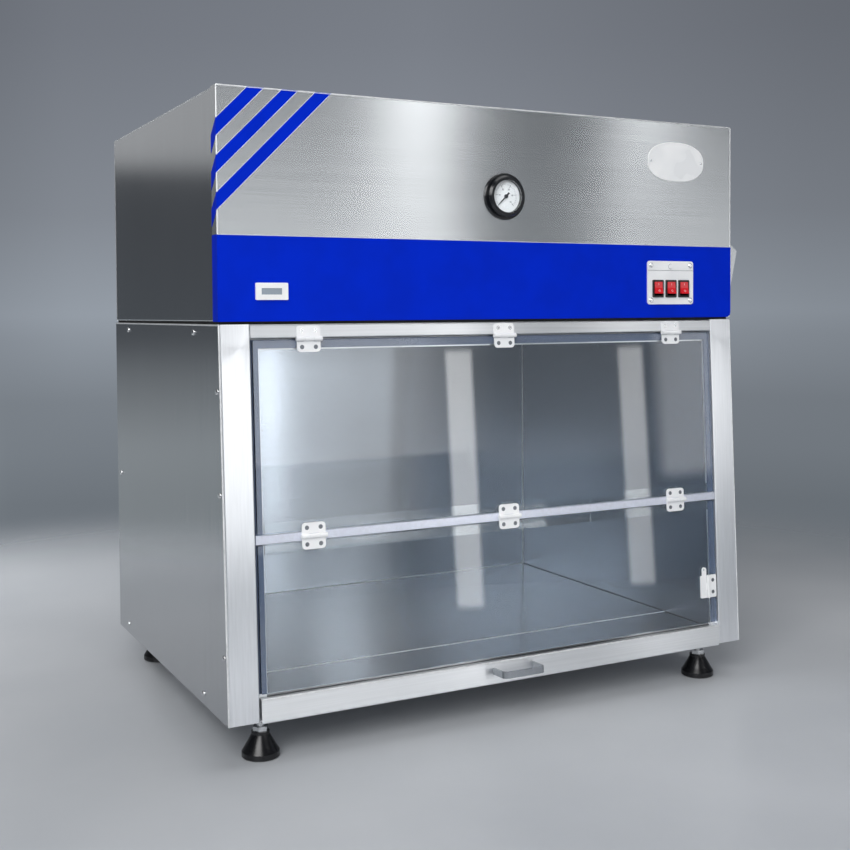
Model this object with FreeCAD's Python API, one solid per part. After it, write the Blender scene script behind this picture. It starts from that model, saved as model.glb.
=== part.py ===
import FreeCAD, Part
import math
import os
from FreeCAD import Vector

# Bench-top stainless cabinet: a blower and filter housing above a closed work chamber.
# The front faces -Y. The floor under the feet is z = 0 while the pieces are drawn, the middle
# of the width is x = 0, and the front of the upper housing is y = 0.

# Overall sizes
width = 915.0
depth = 600.0
upper_height = 325.0
lower_height = 552.0
seam_gap = 4.0
foot_height = 62.0
slope_run = 25.0

# Sheets and running gaps
fascia_t = 1.2
shell_t = 1.2
panel_t = 1.5
liner_t = 1.2
bend_r = 1.0
gap = 0.3
pin_clearance = 0.05
stud_clearance = 0.08
layer_gap = 0.2

# Upper housing
fascia_return = 22.0
shell_lip = 25.0
band_height = 120.0
band_corner = 9.0
film_t = 0.25
stripe_first = 45.5
stripe_width = 25.0
stripe_pitch = 50.7
stripe_count = 3
deck_drop = 175.0
deck_flange = 18.0

# Intake in the top of the upper housing
intake_width = 520.0
intake_depth = 320.0
intake_from_front = 330.0
intake_rim = 18.0
grille_t = 3.0
grille_corner = 6.0
grille_slats = 13
slat_width = 9.0
pad_t = 12.0

# Filter
filter_lap = 4.7
filter_end_gap = 40.0
filter_t = 69.0
filter_frame_w = 14.0
pleat_count = 34
pleat_t = 1.6
pleat_inset = 6.0

# Blower
wheel_r = 54.0
wheel_length = 118.0
wheel_ring_t = 3.0
wheel_hub_r = 12.0
wheel_hub_length = 15.0
shaft_end_gap = 12.0
blade_count = 22
blade_width = 14.0
blade_t = 1.4
shaft_r = 5.0
scroll_length = 140.0
scroll_start_r = 60.0
scroll_growth = 24.0
scroll_turn = 270.0
scroll_points = 10
scroll_t = 1.5
scroll_axis_rise = 80.0
scroll_inlet_r = 44.0
outlet_width = 62.0
motor_r = 38.0
motor_length = 74.0
motor_foot_half = 30.4
motor_gap = 3.0
blower_y = 330.0

# Pressure gauge
gauge_x = 2.5
gauge_rise = 189.0
gauge_flange_r = 36.0
gauge_flange_t = 3.5
gauge_ring_r = 32.0
gauge_ring_h = 12.0
gauge_bevel = 3.0
gauge_window_r = 25.0
gauge_case_r = 29.0
gauge_case_depth = 30.0
dial_t = 1.0
dial_back = 3.0
glass_t = 2.0
glass_inset = 1.5
needle_t = 0.8
needle_reach = 19.0
needle_tail = 8.0
needle_tail_half = 1.44
needle_hub_r = 3.2
needle_angle = 225.0
needle_pin_r = 1.2

# Hour meter and switch plate
meter_from_edge = 78.0
meter_rise = 42.0
meter_width = 48.0
meter_height = 24.0
meter_proud = 3.0
meter_corner = 1.5
meter_window_w = 31.0
meter_window_h = 9.0
meter_window_depth = 1.2
meter_body_depth = 32.0
meter_body_inset = 1.8
plate_from_edge = 132.0
plate_rise = 58.0
plate_width = 96.0
plate_height = 72.0
plate_t = 2.0
plate_corner = 5.0
plate_screw_inset = 7.0
plate_groove_drop = 15.5
plate_groove_w = 1.2
plate_groove_depth = 0.6
lamp_ring_drop = 9.0
lamp_ring_r = 4.0
lamp_ring_h = 1.2
rocker_pitch = 27.0
rocker_drop = 46.0
rocker_frame_w = 22.0
rocker_frame_h = 29.0
rocker_frame_proud = 2.2
rocker_frame_corner = 1.5
rocker_body_depth = 22.0
rocker_width = 16.0
rocker_height = 22.6
rocker_tilt = 10.0
rocker_well_depth = 15.0
rocker_crest = 1.6
rocker_dip = 0.6
rocker_finger_rise = 0.45
rocker_heel = 2.0
rocker_heel_share = 0.72
rocker_axis_depth = 4.0
rocker_side_gap = 0.35

# Side hood and power inlet
hood_rise_bottom = 6.0
hood_rise_top = 134.0
hood_shoulder = 20.0
hood_reach = 25.0
hood_front = 12.0
hood_length = 70.0
hood_t = 1.2
hood_flange = 12.0
hood_nose_r = 3.0
vent_slots = 5
vent_slot_h = 5.0
vent_slot_pitch = 14.0
inlet_from_edge = 127.5
inlet_rise = 60.0
inlet_flange_w = 50.0
inlet_flange_h = 25.0
inlet_flange_t = 2.5
inlet_corner = 3.0
inlet_taper = 8.75
inlet_wall = 2.0
inlet_body_w = 27.5
inlet_body_h = 20.0
inlet_body_depth = 24.0
inlet_pocket_depth = 16.0
inlet_pin_r = 1.6
inlet_pin_pitch = 7.0
inlet_pin_length = 12.8
inlet_pin_lift = 3.0

# Lower cabinet front
post_width = 46.0
rail_height = 20.0
front_return = 22.0
stop_setback = 8.0
stop_width = 13.5
gasket_width = 12.0
gasket_t = 2.7
stop_drop = 16.0
gasket_drop = 14.0
panel_setback = 2.0
side_flange = 42.0
liner_clear = 2.5
floor_rise = 24.0
floor_t = 1.2
floor_split = 118.0
sill_rise = 11.0
base_upstand = 22.0
tongue_clear = 1.0
diffuser_front = 34.0
diffuser_t = 1.5
diffuser_lap = 9.5
diffuser_rows = 9
diffuser_columns = 11
diffuser_slot_l = 46.0
diffuser_slot_w = 14.0
diffuser_field_start = 64.0

# Lamps under the ceiling
lamp_r = 13.0
lamp_length = 590.0
lamp_y = 52.0
lamp_spacing = 40.0
lamp_drop = 19.0
lamp_holder_w = 10.0
lamp_holder_h = 34.0
lamp_holder_corner = 5.0
lamp_pin_clear = 0.3

# Bi-fold front
pane_t = 5.0
pane_clear = 3.0
pane_top_gap = 3.0
pane_axis_gap = 8.0
pane_tray_gap = 6.0
mid_bar_h = 13.0
mid_bar_clear = 0.5
mid_bar_chamfer = 0.8
strip_end = 11.5
strip_h = 45.0
strip_t = 3.0
top_axis_gap = 1.2
mid_axis_drop = 301.0
hinge_from_edge = 83.5
hinge_w = 36.0
hinge_reach = 19.0
hinge_corner = 5.5
hinge_barrel = 39.0
hinge_centre_seg = 14.0
hinge_seg_gap = 0.3
leaf_t = 1.6
knuckle_r = 3.4
hinge_pin_r = 1.7
hinge_screw_x = 10.5
hinge_screw_z = 11.8
flat_head_r = 3.2
flat_head_h = 1.5
flat_shank_r = 1.5
flat_shank_l = 5.6
cross_w = 0.8
cross_l = 3.4
cross_depth = 0.7

# Latch at the right of the lower pane
latch_from_edge = 18.9
latch_rise = 80.5
latch_height = 38.0
latch_knuckle_r = 2.6
latch_pin_r = 1.3
latch_plate_reach = 18.0
latch_flap_reach = 16.0
latch_tab_w = 9.0
latch_tab_h = 14.0
latch_tab_x = -7.5
latch_tab_hole_r = 1.7
latch_corner = 2.5
latch_tab_root = 5.0
latch_tab_corner = 4.32
latch_screw_inset = 9.0
latch_screw_x = 10.5

# Spill tray behind the bottom front panel
tray_front_h = 35.0
tray_front_hang = 3.5
tray_front_clear = 2.0
tray_front_proud = 2.0
tray_front_return = 7.0
tray_clear = 27.5
tray_pan_setback = 2.0
tray_length = 470.0
tray_wall_h = 17.0
tray_t = 1.2
handle_half = 37.0
handle_below_top = 14.5
handle_out = 34.0
handle_h = 10.0
handle_t = 3.0
handle_bend = 9.0

# Feet
foot_inset_x = 60.0
foot_inset_front = 40.0
foot_inset_back = 40.0
foot_rim_r = 27.0
foot_sole_r = 24.5
foot_rim_low = 2.0
foot_rim_high = 9.0
foot_shoulder_r = 22.5
foot_shoulder_h = 16.0
foot_neck_r = 13.0
foot_neck_h = 33.0
foot_top_h = 37.0
collar_r = 11.5
collar_h = 7.0
stud_r = 6.0
stud_sink = 12.0
stud_top = 81.0
boss_r = 9.5
boss_h = 11.0

# Pan-head screws
pan_r = 4.3
pan_h = 2.6
pan_shoulder = 0.92
pan_shoulder_h = 0.55
pan_crown = 0.6
pan_shank_r = 2.0
side_screws_top_front = 117.0
side_screws_top_back = 93.0
side_screws_top_drop = 12.0
side_screws_bottom_front = 88.0
side_screws_bottom_back = 65.0
side_screws_bottom_rise = 16.0
side_screws_front = (93.0, 236.0, 460.0)
side_screws_front_inset = 11.0
side_screw_back = 270.0
side_screw_back_inset = 25.0
back_screw_inset = 14.0
back_screw_columns = 3

# Levels and edges that follow from the sizes above
half = width / 2.0
base_z = foot_height
lower_top = base_z + lower_height
upper_bottom = lower_top + seam_gap
upper_top = upper_bottom + upper_height
slope_angle = math.degrees(math.atan(slope_run / lower_height))
post_inner = half - post_width
shell_half = half - fascia_t
shell_top = upper_top - fascia_t
deck_z = upper_top - deck_drop
floor_z = base_z + floor_rise
ceiling_z = lower_top - panel_t - diffuser_t
big = 3000.0
liner_half = post_inner - liner_clear
diffuser_half = half - side_flange + diffuser_lap
filter_half = shell_half - shell_lip + filter_lap
filter_depth = depth - 2 * filter_end_gap
meter_x = meter_from_edge - half
plate_x = half - plate_from_edge
inlet_x = half - inlet_from_edge

# Drops down the slope from the top of the lower cabinet, and half widths of the front pieces
tray_front_bottom = lower_height + tray_front_hang
tray_front_top = tray_front_bottom - tray_front_h
handle_drop = tray_front_top + handle_below_top
top_axis_drop = rail_height + top_axis_gap
upper_pane_top = rail_height + pane_top_gap
upper_pane_bottom = mid_axis_drop - pane_axis_gap
lower_pane_top = mid_axis_drop + pane_axis_gap
lower_pane_bottom = tray_front_top - pane_tray_gap
latch_top = lower_pane_bottom - latch_rise
pane_half = post_inner - pane_clear
mid_bar_half = post_inner - mid_bar_clear
strip_half = pane_half - strip_end
tray_front_half = post_inner - tray_front_clear
tray_half = post_inner - tray_clear
hinge_xs = (hinge_from_edge - pane_half, 0.0, pane_half - hinge_from_edge)
latch_axis_x = pane_half - latch_from_edge

# The part's own origin is the middle of its box, on the floor
lean = math.radians(slope_angle)
handle_low = handle_drop + handle_h / 2.0
front_reach = (handle_out + tray_front_proud) * math.cos(lean) + handle_low * math.sin(lean)
back_reach = depth + pan_h
right_reach = half + hood_reach
left_reach = half + pan_h
origin_x = (right_reach - left_reach) / 2.0
origin_y = (back_reach - front_reach) / 2.0


def box(x0, x1, y0, y1, z0, z1):
    return Part.makeBox(x1 - x0, y1 - y0, z1 - z0, Vector(x0, y0, z0))


def rod(radius, length, start, along):
    return Part.makeCylinder(radius, length, Vector(*start), Vector(*along))


def fuse(shapes):
    result = shapes[0]
    for other in shapes[1:]:
        result = result.fuse(other)
    return result.removeSplitter()


def rounded_edges(corners):
    # Closed outline through (u, v, radius) corners, each rounded by a tangent arc.
    edges = []
    stops = []
    count = len(corners)
    for i in range(count):
        here = Vector(corners[i][0], corners[i][1], 0)
        before = Vector(corners[i - 1][0], corners[i - 1][1], 0)
        after = Vector(corners[(i + 1) % count][0], corners[(i + 1) % count][1], 0)
        radius = corners[i][2] if len(corners[i]) > 2 else 0.0
        if radius <= 0:
            stops.append((here, here))
            continue
        back = (before - here).normalize()
        on = (after - here).normalize()
        half_angle = back.getAngle(on) / 2.0
        reach = radius / math.tan(half_angle)
        first = here + back * reach
        last = here + on * reach
        bisector = (back + on).normalize()
        middle = here + bisector * (radius / math.sin(half_angle) - radius)
        edges.append(Part.Arc(first, middle, last).toShape())
        stops.append((first, last))
    for i in range(count):
        start = stops[i][1]
        end = stops[(i + 1) % count][0]
        if start.distanceToPoint(end) > 1e-6:
            edges.append(Part.LineSegment(start, end).toShape())
    return edges


def plate(corners, thickness):
    # Flat plate drawn in u, v with its thickness along +w.
    wire = Part.Wire(Part.__sortEdges__(rounded_edges(corners)))
    return Part.Face(wire).extrude(Vector(0, 0, thickness))


def rectangle(u0, u1, v0, v1, radius=0.0):
    return [(u0, v0, radius), (u1, v0, radius), (u1, v1, radius), (u0, v1, radius)]


def hexagon(radius):
    return [(radius * math.cos(math.radians(60 * i)), radius * math.sin(math.radians(60 * i)), 0.0)
            for i in range(6)]


def stand_up(shape):
    # Turns u, v, w drawn flat into x, z and depth towards the front: u = x, v = z, w = -y.
    turned = shape.copy()
    turned.rotate(Vector(0, 0, 0), Vector(1, 0, 0), 90)
    return turned


def side_on(shape):
    # Turns u, v, w drawn flat into y, z and x.
    turned = shape.copy()
    turned.rotate(Vector(0, 0, 0), Vector(1, 0, 0), 90)
    turned.rotate(Vector(0, 0, 0), Vector(0, 0, 1), 90)
    return turned


def moved(shape, x=0.0, y=0.0, z=0.0):
    result = shape.copy()
    result.translate(Vector(x, y, z))
    return result


def mirrored_x(shape):
    return shape.mirror(Vector(0, 0, 0), Vector(1, 0, 0))


def folded(path, thickness, bend=bend_r):
    # Section of a folded sheet: one skin follows the path, the sheet lies on its left.
    count = len(path)
    points = [Vector(u, v, 0) for u, v in path]
    skin = []
    other = []
    for i in range(count):
        ahead = (points[i + 1] - points[i]).normalize() if i < count - 1 else None
        behind = (points[i] - points[i - 1]).normalize() if i > 0 else None
        if ahead is None or behind is None:
            way = behind if ahead is None else ahead
            normal = Vector(-way.y, way.x, 0)
            skin.append((points[i].x, points[i].y, 0.0))
            other.append((points[i].x + normal.x * thickness, points[i].y + normal.y * thickness, 0.0))
            continue
        first = Vector(-behind.y, behind.x, 0)
        second = Vector(-ahead.y, ahead.x, 0)
        mitre = (first + second).normalize()
        reach = thickness / mitre.dot(first)
        left_turn = behind.x * ahead.y - behind.y * ahead.x > 0
        skin_r = bend + thickness if left_turn else bend
        other_r = bend if left_turn else bend + thickness
        skin.append((points[i].x, points[i].y, skin_r))
        other.append((points[i].x + mitre.x * reach, points[i].y + mitre.y * reach, other_r))
    return skin + list(reversed(other))


def on_slope(shape):
    # Leans a piece drawn on an upright front back to the true slope of the lower front.
    leaned = shape.copy()
    leaned.rotate(Vector(0, 0, lower_top), Vector(1, 0, 0), -slope_angle)
    return leaned


def front_plate(corners, front, thickness):
    # Plate facing the front: corners in x, z, its front face at y = front.
    return moved(stand_up(plate(corners, thickness)), y=front + thickness)


def between_levels(shape, low, high):
    return shape.common(box(-big, big, -big, big, low, high))


def pan_head(radius, height):
    # Low rounded head standing on z = 0
    profile = [(0, 0), (radius, 0), (radius * pan_shoulder, height * pan_shoulder_h),
               (radius * pan_crown, height), (0, height)]
    return turned_profile(profile)


def turned_profile(profile):
    points = [Vector(r, 0, z) for r, z in profile]
    face = Part.Face(Part.makePolygon(points + [points[0]]))
    return face.revolve(Vector(0, 0, 0), Vector(0, 0, 1), 360)


def pan_screw(shank):
    return pan_head(pan_r, pan_h).fuse(rod(pan_shank_r, shank, (0, 0, -shank), (0, 0, 1))).removeSplitter()


def facing(shape, direction):
    # Turns a piece drawn along +z to point along a level direction.
    turned = shape.copy()
    if direction == "left":
        turned.rotate(Vector(0, 0, 0), Vector(0, 1, 0), -90)
    if direction == "right":
        turned.rotate(Vector(0, 0, 0), Vector(0, 1, 0), 90)
    if direction == "front":
        turned.rotate(Vector(0, 0, 0), Vector(1, 0, 0), 90)
    if direction == "back":
        turned.rotate(Vector(0, 0, 0), Vector(1, 0, 0), -90)
    return turned


def side_screw_places():
    # (y, z) of the pan screws on each side of the lower cabinet
    high = lower_top - side_screws_top_drop
    low = base_z + side_screws_bottom_rise
    places = [(side_screws_top_front, high), (depth - side_screws_top_back, high),
              (side_screws_bottom_front, low), (depth - side_screws_bottom_back, low)]
    for drop in side_screws_front:
        front_edge = -slope_run * drop / lower_height
        places.append((front_edge + side_screws_front_inset, lower_top - drop))
    places.append((depth - side_screw_back_inset, lower_top - side_screw_back))
    return places


def back_screw_places():
    # (x, z) of the pan screws round the rear panel of the upper housing
    span = half - back_screw_inset
    places = []
    for i in range(back_screw_columns):
        x = -span + 2.0 * span * i / (back_screw_columns - 1)
        places.append((x, upper_bottom + back_screw_inset))
        places.append((x, upper_top - back_screw_inset))
    return places


def plate_screw_places():
    # (x, z) of the corner screws of the switch plate
    reach_x = plate_width / 2.0 - plate_screw_inset
    reach_z = plate_height / 2.0 - plate_screw_inset
    centre = upper_bottom + plate_rise
    return [(plate_x + sx * reach_x, centre + sz * reach_z) for sx in (-1, 1) for sz in (-1, 1)]


def cabinet_screws():
    screws = []
    side = pan_screw(panel_t)
    for y, z in side_screw_places():
        screws.append(moved(facing(side, "left"), -half, y, z))
        screws.append(moved(facing(side, "right"), half, y, z))
    for x, z in back_screw_places():
        screws.append(moved(facing(pan_screw(shell_t), "back"), x, depth, z))
    for x, z in plate_screw_places():
        screws.append(moved(facing(pan_screw(plate_t), "front"), x, -plate_t - film_t, z))
    return Part.makeCompound(screws + hinge_screws(top_axis_drop, 1))


def fascia():
    path = [(-half, fascia_return), (-half, 0), (half, 0), (half, fascia_return)]
    sheet = moved(plate(folded(path, fascia_t, gap), upper_height), z=upper_bottom)
    roof = box(-half + fascia_t, half - fascia_t, fascia_t, fascia_return, upper_top - fascia_t, upper_top)
    sill_half = shell_half - shell_lip - gap
    sill = box(-sill_half, sill_half, fascia_t, fascia_return, upper_bottom, upper_bottom + fascia_t)
    sheet = fuse([sheet, roof, sill])
    return sheet.cut(front_openings())


def front_openings():
    # Holes through the fascia and its film for the gauge, the hour meter and the switches
    gauge = rod(gauge_case_r + gap, 2 * fascia_return, (gauge_x, -fascia_return, upper_bottom + gauge_rise),
                (0, 1, 0))
    meter_w = meter_width / 2.0 - meter_body_inset + gap
    meter_h = meter_height / 2.0 - meter_body_inset + gap
    meter_z = upper_bottom + meter_rise
    meter = box(meter_x - meter_w, meter_x + meter_w, -fascia_return, fascia_return,
                meter_z - meter_h, meter_z + meter_h)
    switch_w = rocker_pitch + rocker_frame_w / 2.0
    switch_h = rocker_frame_h / 2.0
    switch_z = rocker_centre()
    switches = box(plate_x - switch_w, plate_x + switch_w, -fascia_return, fascia_return,
                   switch_z - switch_h, switch_z + switch_h)
    return Part.makeCompound([gauge, meter, switches])


def upper_shell():
    path = [(shell_half - shell_lip, upper_bottom), (shell_half, upper_bottom), (shell_half, shell_top),
            (-shell_half, shell_top), (-shell_half, upper_bottom), (-shell_half + shell_lip, upper_bottom)]
    length = depth - shell_t - fascia_t - 2 * gap
    shell = moved(stand_up(plate(folded(path, shell_t), length)), y=depth - shell_t)
    mouth_x = intake_width / 2.0
    mouth_y = intake_depth / 2.0
    shell = shell.cut(box(-mouth_x, mouth_x, intake_from_front - mouth_y, intake_from_front + mouth_y,
                          shell_top - 2 * shell_t, shell_top + shell_t))
    vents = []
    for i in range(vent_slots):
        z = upper_bottom + hood_rise_bottom + hood_flange + vent_slot_pitch * (i + 1)
        vents.append(box(shell_half - 2 * shell_t, half, hood_front + hood_flange,
                         hood_front + hood_length - hood_flange, z, z + vent_slot_h))
    return shell.cut(Part.makeCompound(vents))


def upper_back_panel():
    panel = box(-shell_half, shell_half, depth - shell_t, depth, upper_bottom, shell_top)
    holes = [rod(pan_shank_r, 4 * shell_t, (x, depth - 2 * shell_t, z), (0, 1, 0))
             for x, z in back_screw_places()]
    centre = upper_bottom + inlet_rise
    holes.append(box(inlet_x - inlet_body_w / 2.0, inlet_x + inlet_body_w / 2.0, depth - 2 * shell_t,
                     depth + shell_t, centre - inlet_body_h / 2.0, centre + inlet_body_h / 2.0))
    return panel.cut(Part.makeCompound(holes))


def blue_films():
    # Lower band wrapped round both returns, and diagonal stripes round the left corner
    top = upper_bottom + band_height
    front = front_plate([(-half, upper_bottom), (half, upper_bottom, band_corner), (half, top), (-half, top)],
                        -film_t, film_t)
    pieces = [front.cut(front_openings())]
    pieces.append(box(-half - film_t, -half, 0, fascia_return, upper_bottom, top))
    for i in range(stripe_count):
        near = stripe_first + stripe_pitch * i
        far = near + stripe_width
        corners = [(-half, upper_top - near), (-half, upper_top - far), (-half + far, upper_top),
                   (-half + near, upper_top)]
        face = front_plate(corners, -film_t, film_t)
        wrap = [(0, upper_top - near), (0, upper_top - far), (fascia_return, upper_top - far - fascia_return),
                (fascia_return, upper_top - near - fascia_return)]
        side = moved(side_on(plate(wrap, film_t)), x=-half - film_t)
        pieces += [face, side]
    return Part.makeCompound(pieces)


def blower_deck():
    inner = shell_half - shell_t
    path = [(inner, deck_z + deck_flange), (inner, deck_z), (-inner, deck_z), (-inner, deck_z + deck_flange)]
    path.reverse()
    length = depth - 2 * shell_t - 2 * gap - fascia_t
    deck = moved(stand_up(plate(folded(path, shell_t), length)), y=depth - shell_t - gap)
    port = box(-scroll_length / 2.0 + scroll_t, scroll_length / 2.0 - scroll_t, outlet_back(),
               outlet_back() + outlet_width - 2 * scroll_t, deck_z - shell_t, deck_z + 2 * shell_t)
    return deck.cut(port)


def prefilter_grille():
    w = intake_width / 2.0 + intake_rim
    d = intake_depth / 2.0 + intake_rim
    grille = moved(plate(rectangle(-w, w, -d, d, grille_corner), grille_t), 0, intake_from_front, shell_top)
    pitch = (intake_depth - slat_width) / grille_slats
    slots = []
    for i in range(grille_slats):
        y = intake_from_front - intake_depth / 2.0 + slat_width + pitch * i
        slots.append(box(-intake_width / 2.0, intake_width / 2.0, y, y + pitch - slat_width,
                         shell_top - grille_t, shell_top + 2 * grille_t))
    return grille.cut(Part.makeCompound(slots))


def prefilter_pad():
    w = intake_width / 2.0 - gap
    d = intake_depth / 2.0 - gap
    return box(-w, w, intake_from_front - d, intake_from_front + d, shell_top - pad_t, shell_top)


def filter_frame():
    w = filter_half
    low = upper_bottom + shell_t
    front = (depth - filter_depth) / 2.0
    outer = box(-w, w, front, front + filter_depth, low, low + filter_t)
    f = filter_frame_w
    return outer.cut(box(-w + f, w - f, front + f, front + filter_depth - f, low - f, low + filter_t + f))


def filter_pleats():
    # Folded paper pack: one zigzag sheet drawn in x, z and run the depth of the frame
    w = filter_half - filter_frame_w
    low = upper_bottom + shell_t + pleat_inset
    high = low + filter_t - 2 * pleat_inset - pleat_t
    pitch = 2.0 * w / pleat_count
    lower_skin = []
    for i in range(pleat_count):
        lower_skin.append((-w + pitch * i, low))
        lower_skin.append((-w + pitch * (i + 0.5), high))
    lower_skin.append((w, low))
    upper_skin = [(u, v + pleat_t * 2) for u, v in reversed(lower_skin)]
    length = filter_depth - 2 * filter_frame_w
    pack = stand_up(plate([(u, v, 0.0) for u, v in lower_skin + upper_skin], length))
    return moved(pack, y=(depth - filter_depth) / 2.0 + filter_frame_w + length)


def scroll_radius(turn):
    return scroll_start_r + scroll_growth * turn / scroll_turn


def outlet_back():
    # Rear face of the blower's outlet duct, inside its wall
    return blower_y + scroll_radius(scroll_turn) - outlet_width + scroll_t


def scroll_outline(inset):
    # Spiral from the cut-off round to the outlet, which blows down through the deck
    centre_z = deck_z + shell_t + scroll_axis_rise
    foot = deck_z + shell_t
    points = []
    for step in range(scroll_points):
        turn = scroll_turn * step / (scroll_points - 1)
        angle = math.radians(-90.0 - turn)
        reach = scroll_radius(turn) - inset
        points.append(Vector(blower_y + reach * math.cos(angle), centre_z + reach * math.sin(angle), 0))
    curve = Part.BSplineCurve()
    curve.interpolate(points)
    start = points[0]
    end = points[-1]
    duct_front = outlet_back() - scroll_t + inset
    corner = Vector(end.x, foot, 0)
    low = Vector(duct_front, foot, 0)
    tongue = Vector(duct_front, start.y, 0)
    edges = [curve.toShape(), Part.makeLine(end, corner), Part.makeLine(corner, low),
             Part.makeLine(low, tongue)]
    if tongue.distanceToPoint(start) > 1e-6:
        edges.append(Part.makeLine(tongue, start))
    return Part.Face(Part.Wire(Part.__sortEdges__(edges)))


def blower_scroll():
    outer = side_on(scroll_outline(0.0).extrude(Vector(0, 0, scroll_length)))
    inner = side_on(scroll_outline(scroll_t).extrude(Vector(0, 0, scroll_length - 2 * scroll_t)))
    outer = moved(outer, x=-scroll_length / 2.0)
    inner = moved(inner, x=-scroll_length / 2.0 + scroll_t)
    axis_z = deck_z + shell_t + scroll_axis_rise
    inlet = rod(scroll_inlet_r, scroll_length, (0, blower_y, axis_z), (1, 0, 0))
    shaft = rod(shaft_r + 3 * gap, scroll_length, (-scroll_length, blower_y, axis_z), (1, 0, 0))
    port = box(-scroll_length / 2.0 + scroll_t, scroll_length / 2.0 - scroll_t, outlet_back(),
               outlet_back() + outlet_width - 2 * scroll_t, deck_z, deck_z + 3 * shell_t)
    return outer.cut(inner).cut(inlet).cut(shaft).cut(port)


def blower_motor():
    axis_z = deck_z + shell_t + scroll_axis_rise
    end = -scroll_length / 2.0 - motor_gap
    body = rod(motor_r, motor_length, (end - motor_length, blower_y, axis_z), (1, 0, 0))
    pedestal = box(end - motor_length + motor_gap, end - motor_gap, blower_y - motor_foot_half,
                   blower_y + motor_foot_half, deck_z + shell_t, axis_z)
    spigot = rod(motor_r / 2.0, motor_gap, (end, blower_y, axis_z), (1, 0, 0))
    bore_start = (end + motor_gap - motor_length / 2.0, blower_y, axis_z)
    bore = rod(shaft_r + pin_clearance, motor_length, bore_start, (1, 0, 0))
    return fuse([body, pedestal, spigot]).cut(bore)


def blower_impeller():
    axis_z = deck_z + shell_t + scroll_axis_rise
    half_l = wheel_length / 2.0
    pieces = [rod(wheel_r, wheel_ring_t, (-half_l, 0, 0), (1, 0, 0))]
    rim_start = (half_l - wheel_ring_t, 0, 0)
    rim = rod(wheel_r, wheel_ring_t, rim_start, (1, 0, 0))
    pieces.append(rim.cut(rod(wheel_r - blade_width, wheel_ring_t, rim_start, (1, 0, 0))))
    shaft_start = -scroll_length / 2.0 - motor_length / 2.0 + gap
    pieces.append(rod(shaft_r, half_l - shaft_start - shaft_end_gap, (shaft_start, 0, 0), (1, 0, 0)))
    pieces.append(rod(wheel_hub_r, wheel_hub_length, (-half_l, 0, 0), (1, 0, 0)))
    blade = box(-half_l, half_l, wheel_r - blade_width, wheel_r - gap, 0, blade_t)
    for i in range(blade_count):
        turned = blade.copy()
        turned.rotate(Vector(0, 0, 0), Vector(1, 0, 0), 360.0 * i / blade_count)
        pieces.append(turned)
    return moved(fuse(pieces), y=blower_y, z=axis_z)


def gauge_case():
    # Round body behind the fascia, flange on it and a stepped ring round the window
    floor_y = dial_back
    profile = [(0, floor_y), (gauge_window_r, floor_y), (gauge_window_r, gauge_ring_h),
               (gauge_ring_r - gauge_bevel, gauge_ring_h), (gauge_ring_r, gauge_ring_h - gauge_bevel),
               (gauge_ring_r, gauge_flange_t), (gauge_flange_r - bend_r, gauge_flange_t),
               (gauge_flange_r, gauge_flange_t - bend_r), (gauge_flange_r, 0), (gauge_case_r, 0),
               (gauge_case_r, -gauge_case_depth), (0, -gauge_case_depth)]
    return moved(facing(turned_profile(profile), "front"), gauge_x, 0, upper_bottom + gauge_rise)


def gauge_dial():
    disc = rod(gauge_window_r, dial_t, (gauge_x, -dial_back - dial_t, upper_bottom + gauge_rise), (0, 1, 0))
    hole = rod(needle_pin_r + pin_clearance, dial_back, (gauge_x, -dial_back - dial_t,
                                                        upper_bottom + gauge_rise), (0, 1, 0))
    return disc.cut(hole)


def gauge_glass():
    front = -gauge_ring_h + glass_inset
    return rod(gauge_window_r, glass_t, (gauge_x, front, upper_bottom + gauge_rise), (0, 1, 0))


def gauge_pointer():
    # Slim needle on a hub, drawn pointing up and then turned to its resting place
    back = gap
    needle = plate([(-needle_tail_half, -needle_tail), (needle_tail_half, -needle_tail),
                    (needle_t / 2.0, needle_reach), (-needle_t / 2.0, needle_reach)], needle_t)
    hub = rod(needle_hub_r, needle_t * 2, (0, 0, 0), (0, 0, 1))
    pin = rod(needle_pin_r, dial_t + back, (0, 0, -dial_t - back), (0, 0, 1))
    hand = fuse([needle, hub, pin])
    hand.rotate(Vector(0, 0, 0), Vector(0, 0, 1), -needle_angle)
    return moved(facing(hand, "front"), gauge_x, -dial_back - dial_t - back, upper_bottom + gauge_rise)


def hour_meter():
    centre = upper_bottom + meter_rise
    w = meter_width / 2.0
    h = meter_height / 2.0
    face = front_plate(rectangle(meter_x - w, meter_x + w, centre - h, centre + h, meter_corner),
                       -meter_proud - film_t, meter_proud)
    body = box(meter_x - w + meter_body_inset, meter_x + w - meter_body_inset, -film_t, meter_body_depth,
               centre - h + meter_body_inset, centre + h - meter_body_inset)
    window = box(meter_x - meter_window_w / 2.0, meter_x + meter_window_w / 2.0, -2 * meter_proud,
                 -meter_proud - film_t + meter_window_depth,
                 centre - meter_window_h / 2.0, centre + meter_window_h / 2.0)
    return face.fuse(body).removeSplitter().cut(window)


def rocker_centre():
    return upper_bottom + plate_rise + plate_height / 2.0 - rocker_drop


def rocker_xs():
    return [plate_x + rocker_pitch * i for i in (-1, 0, 1)]


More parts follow.
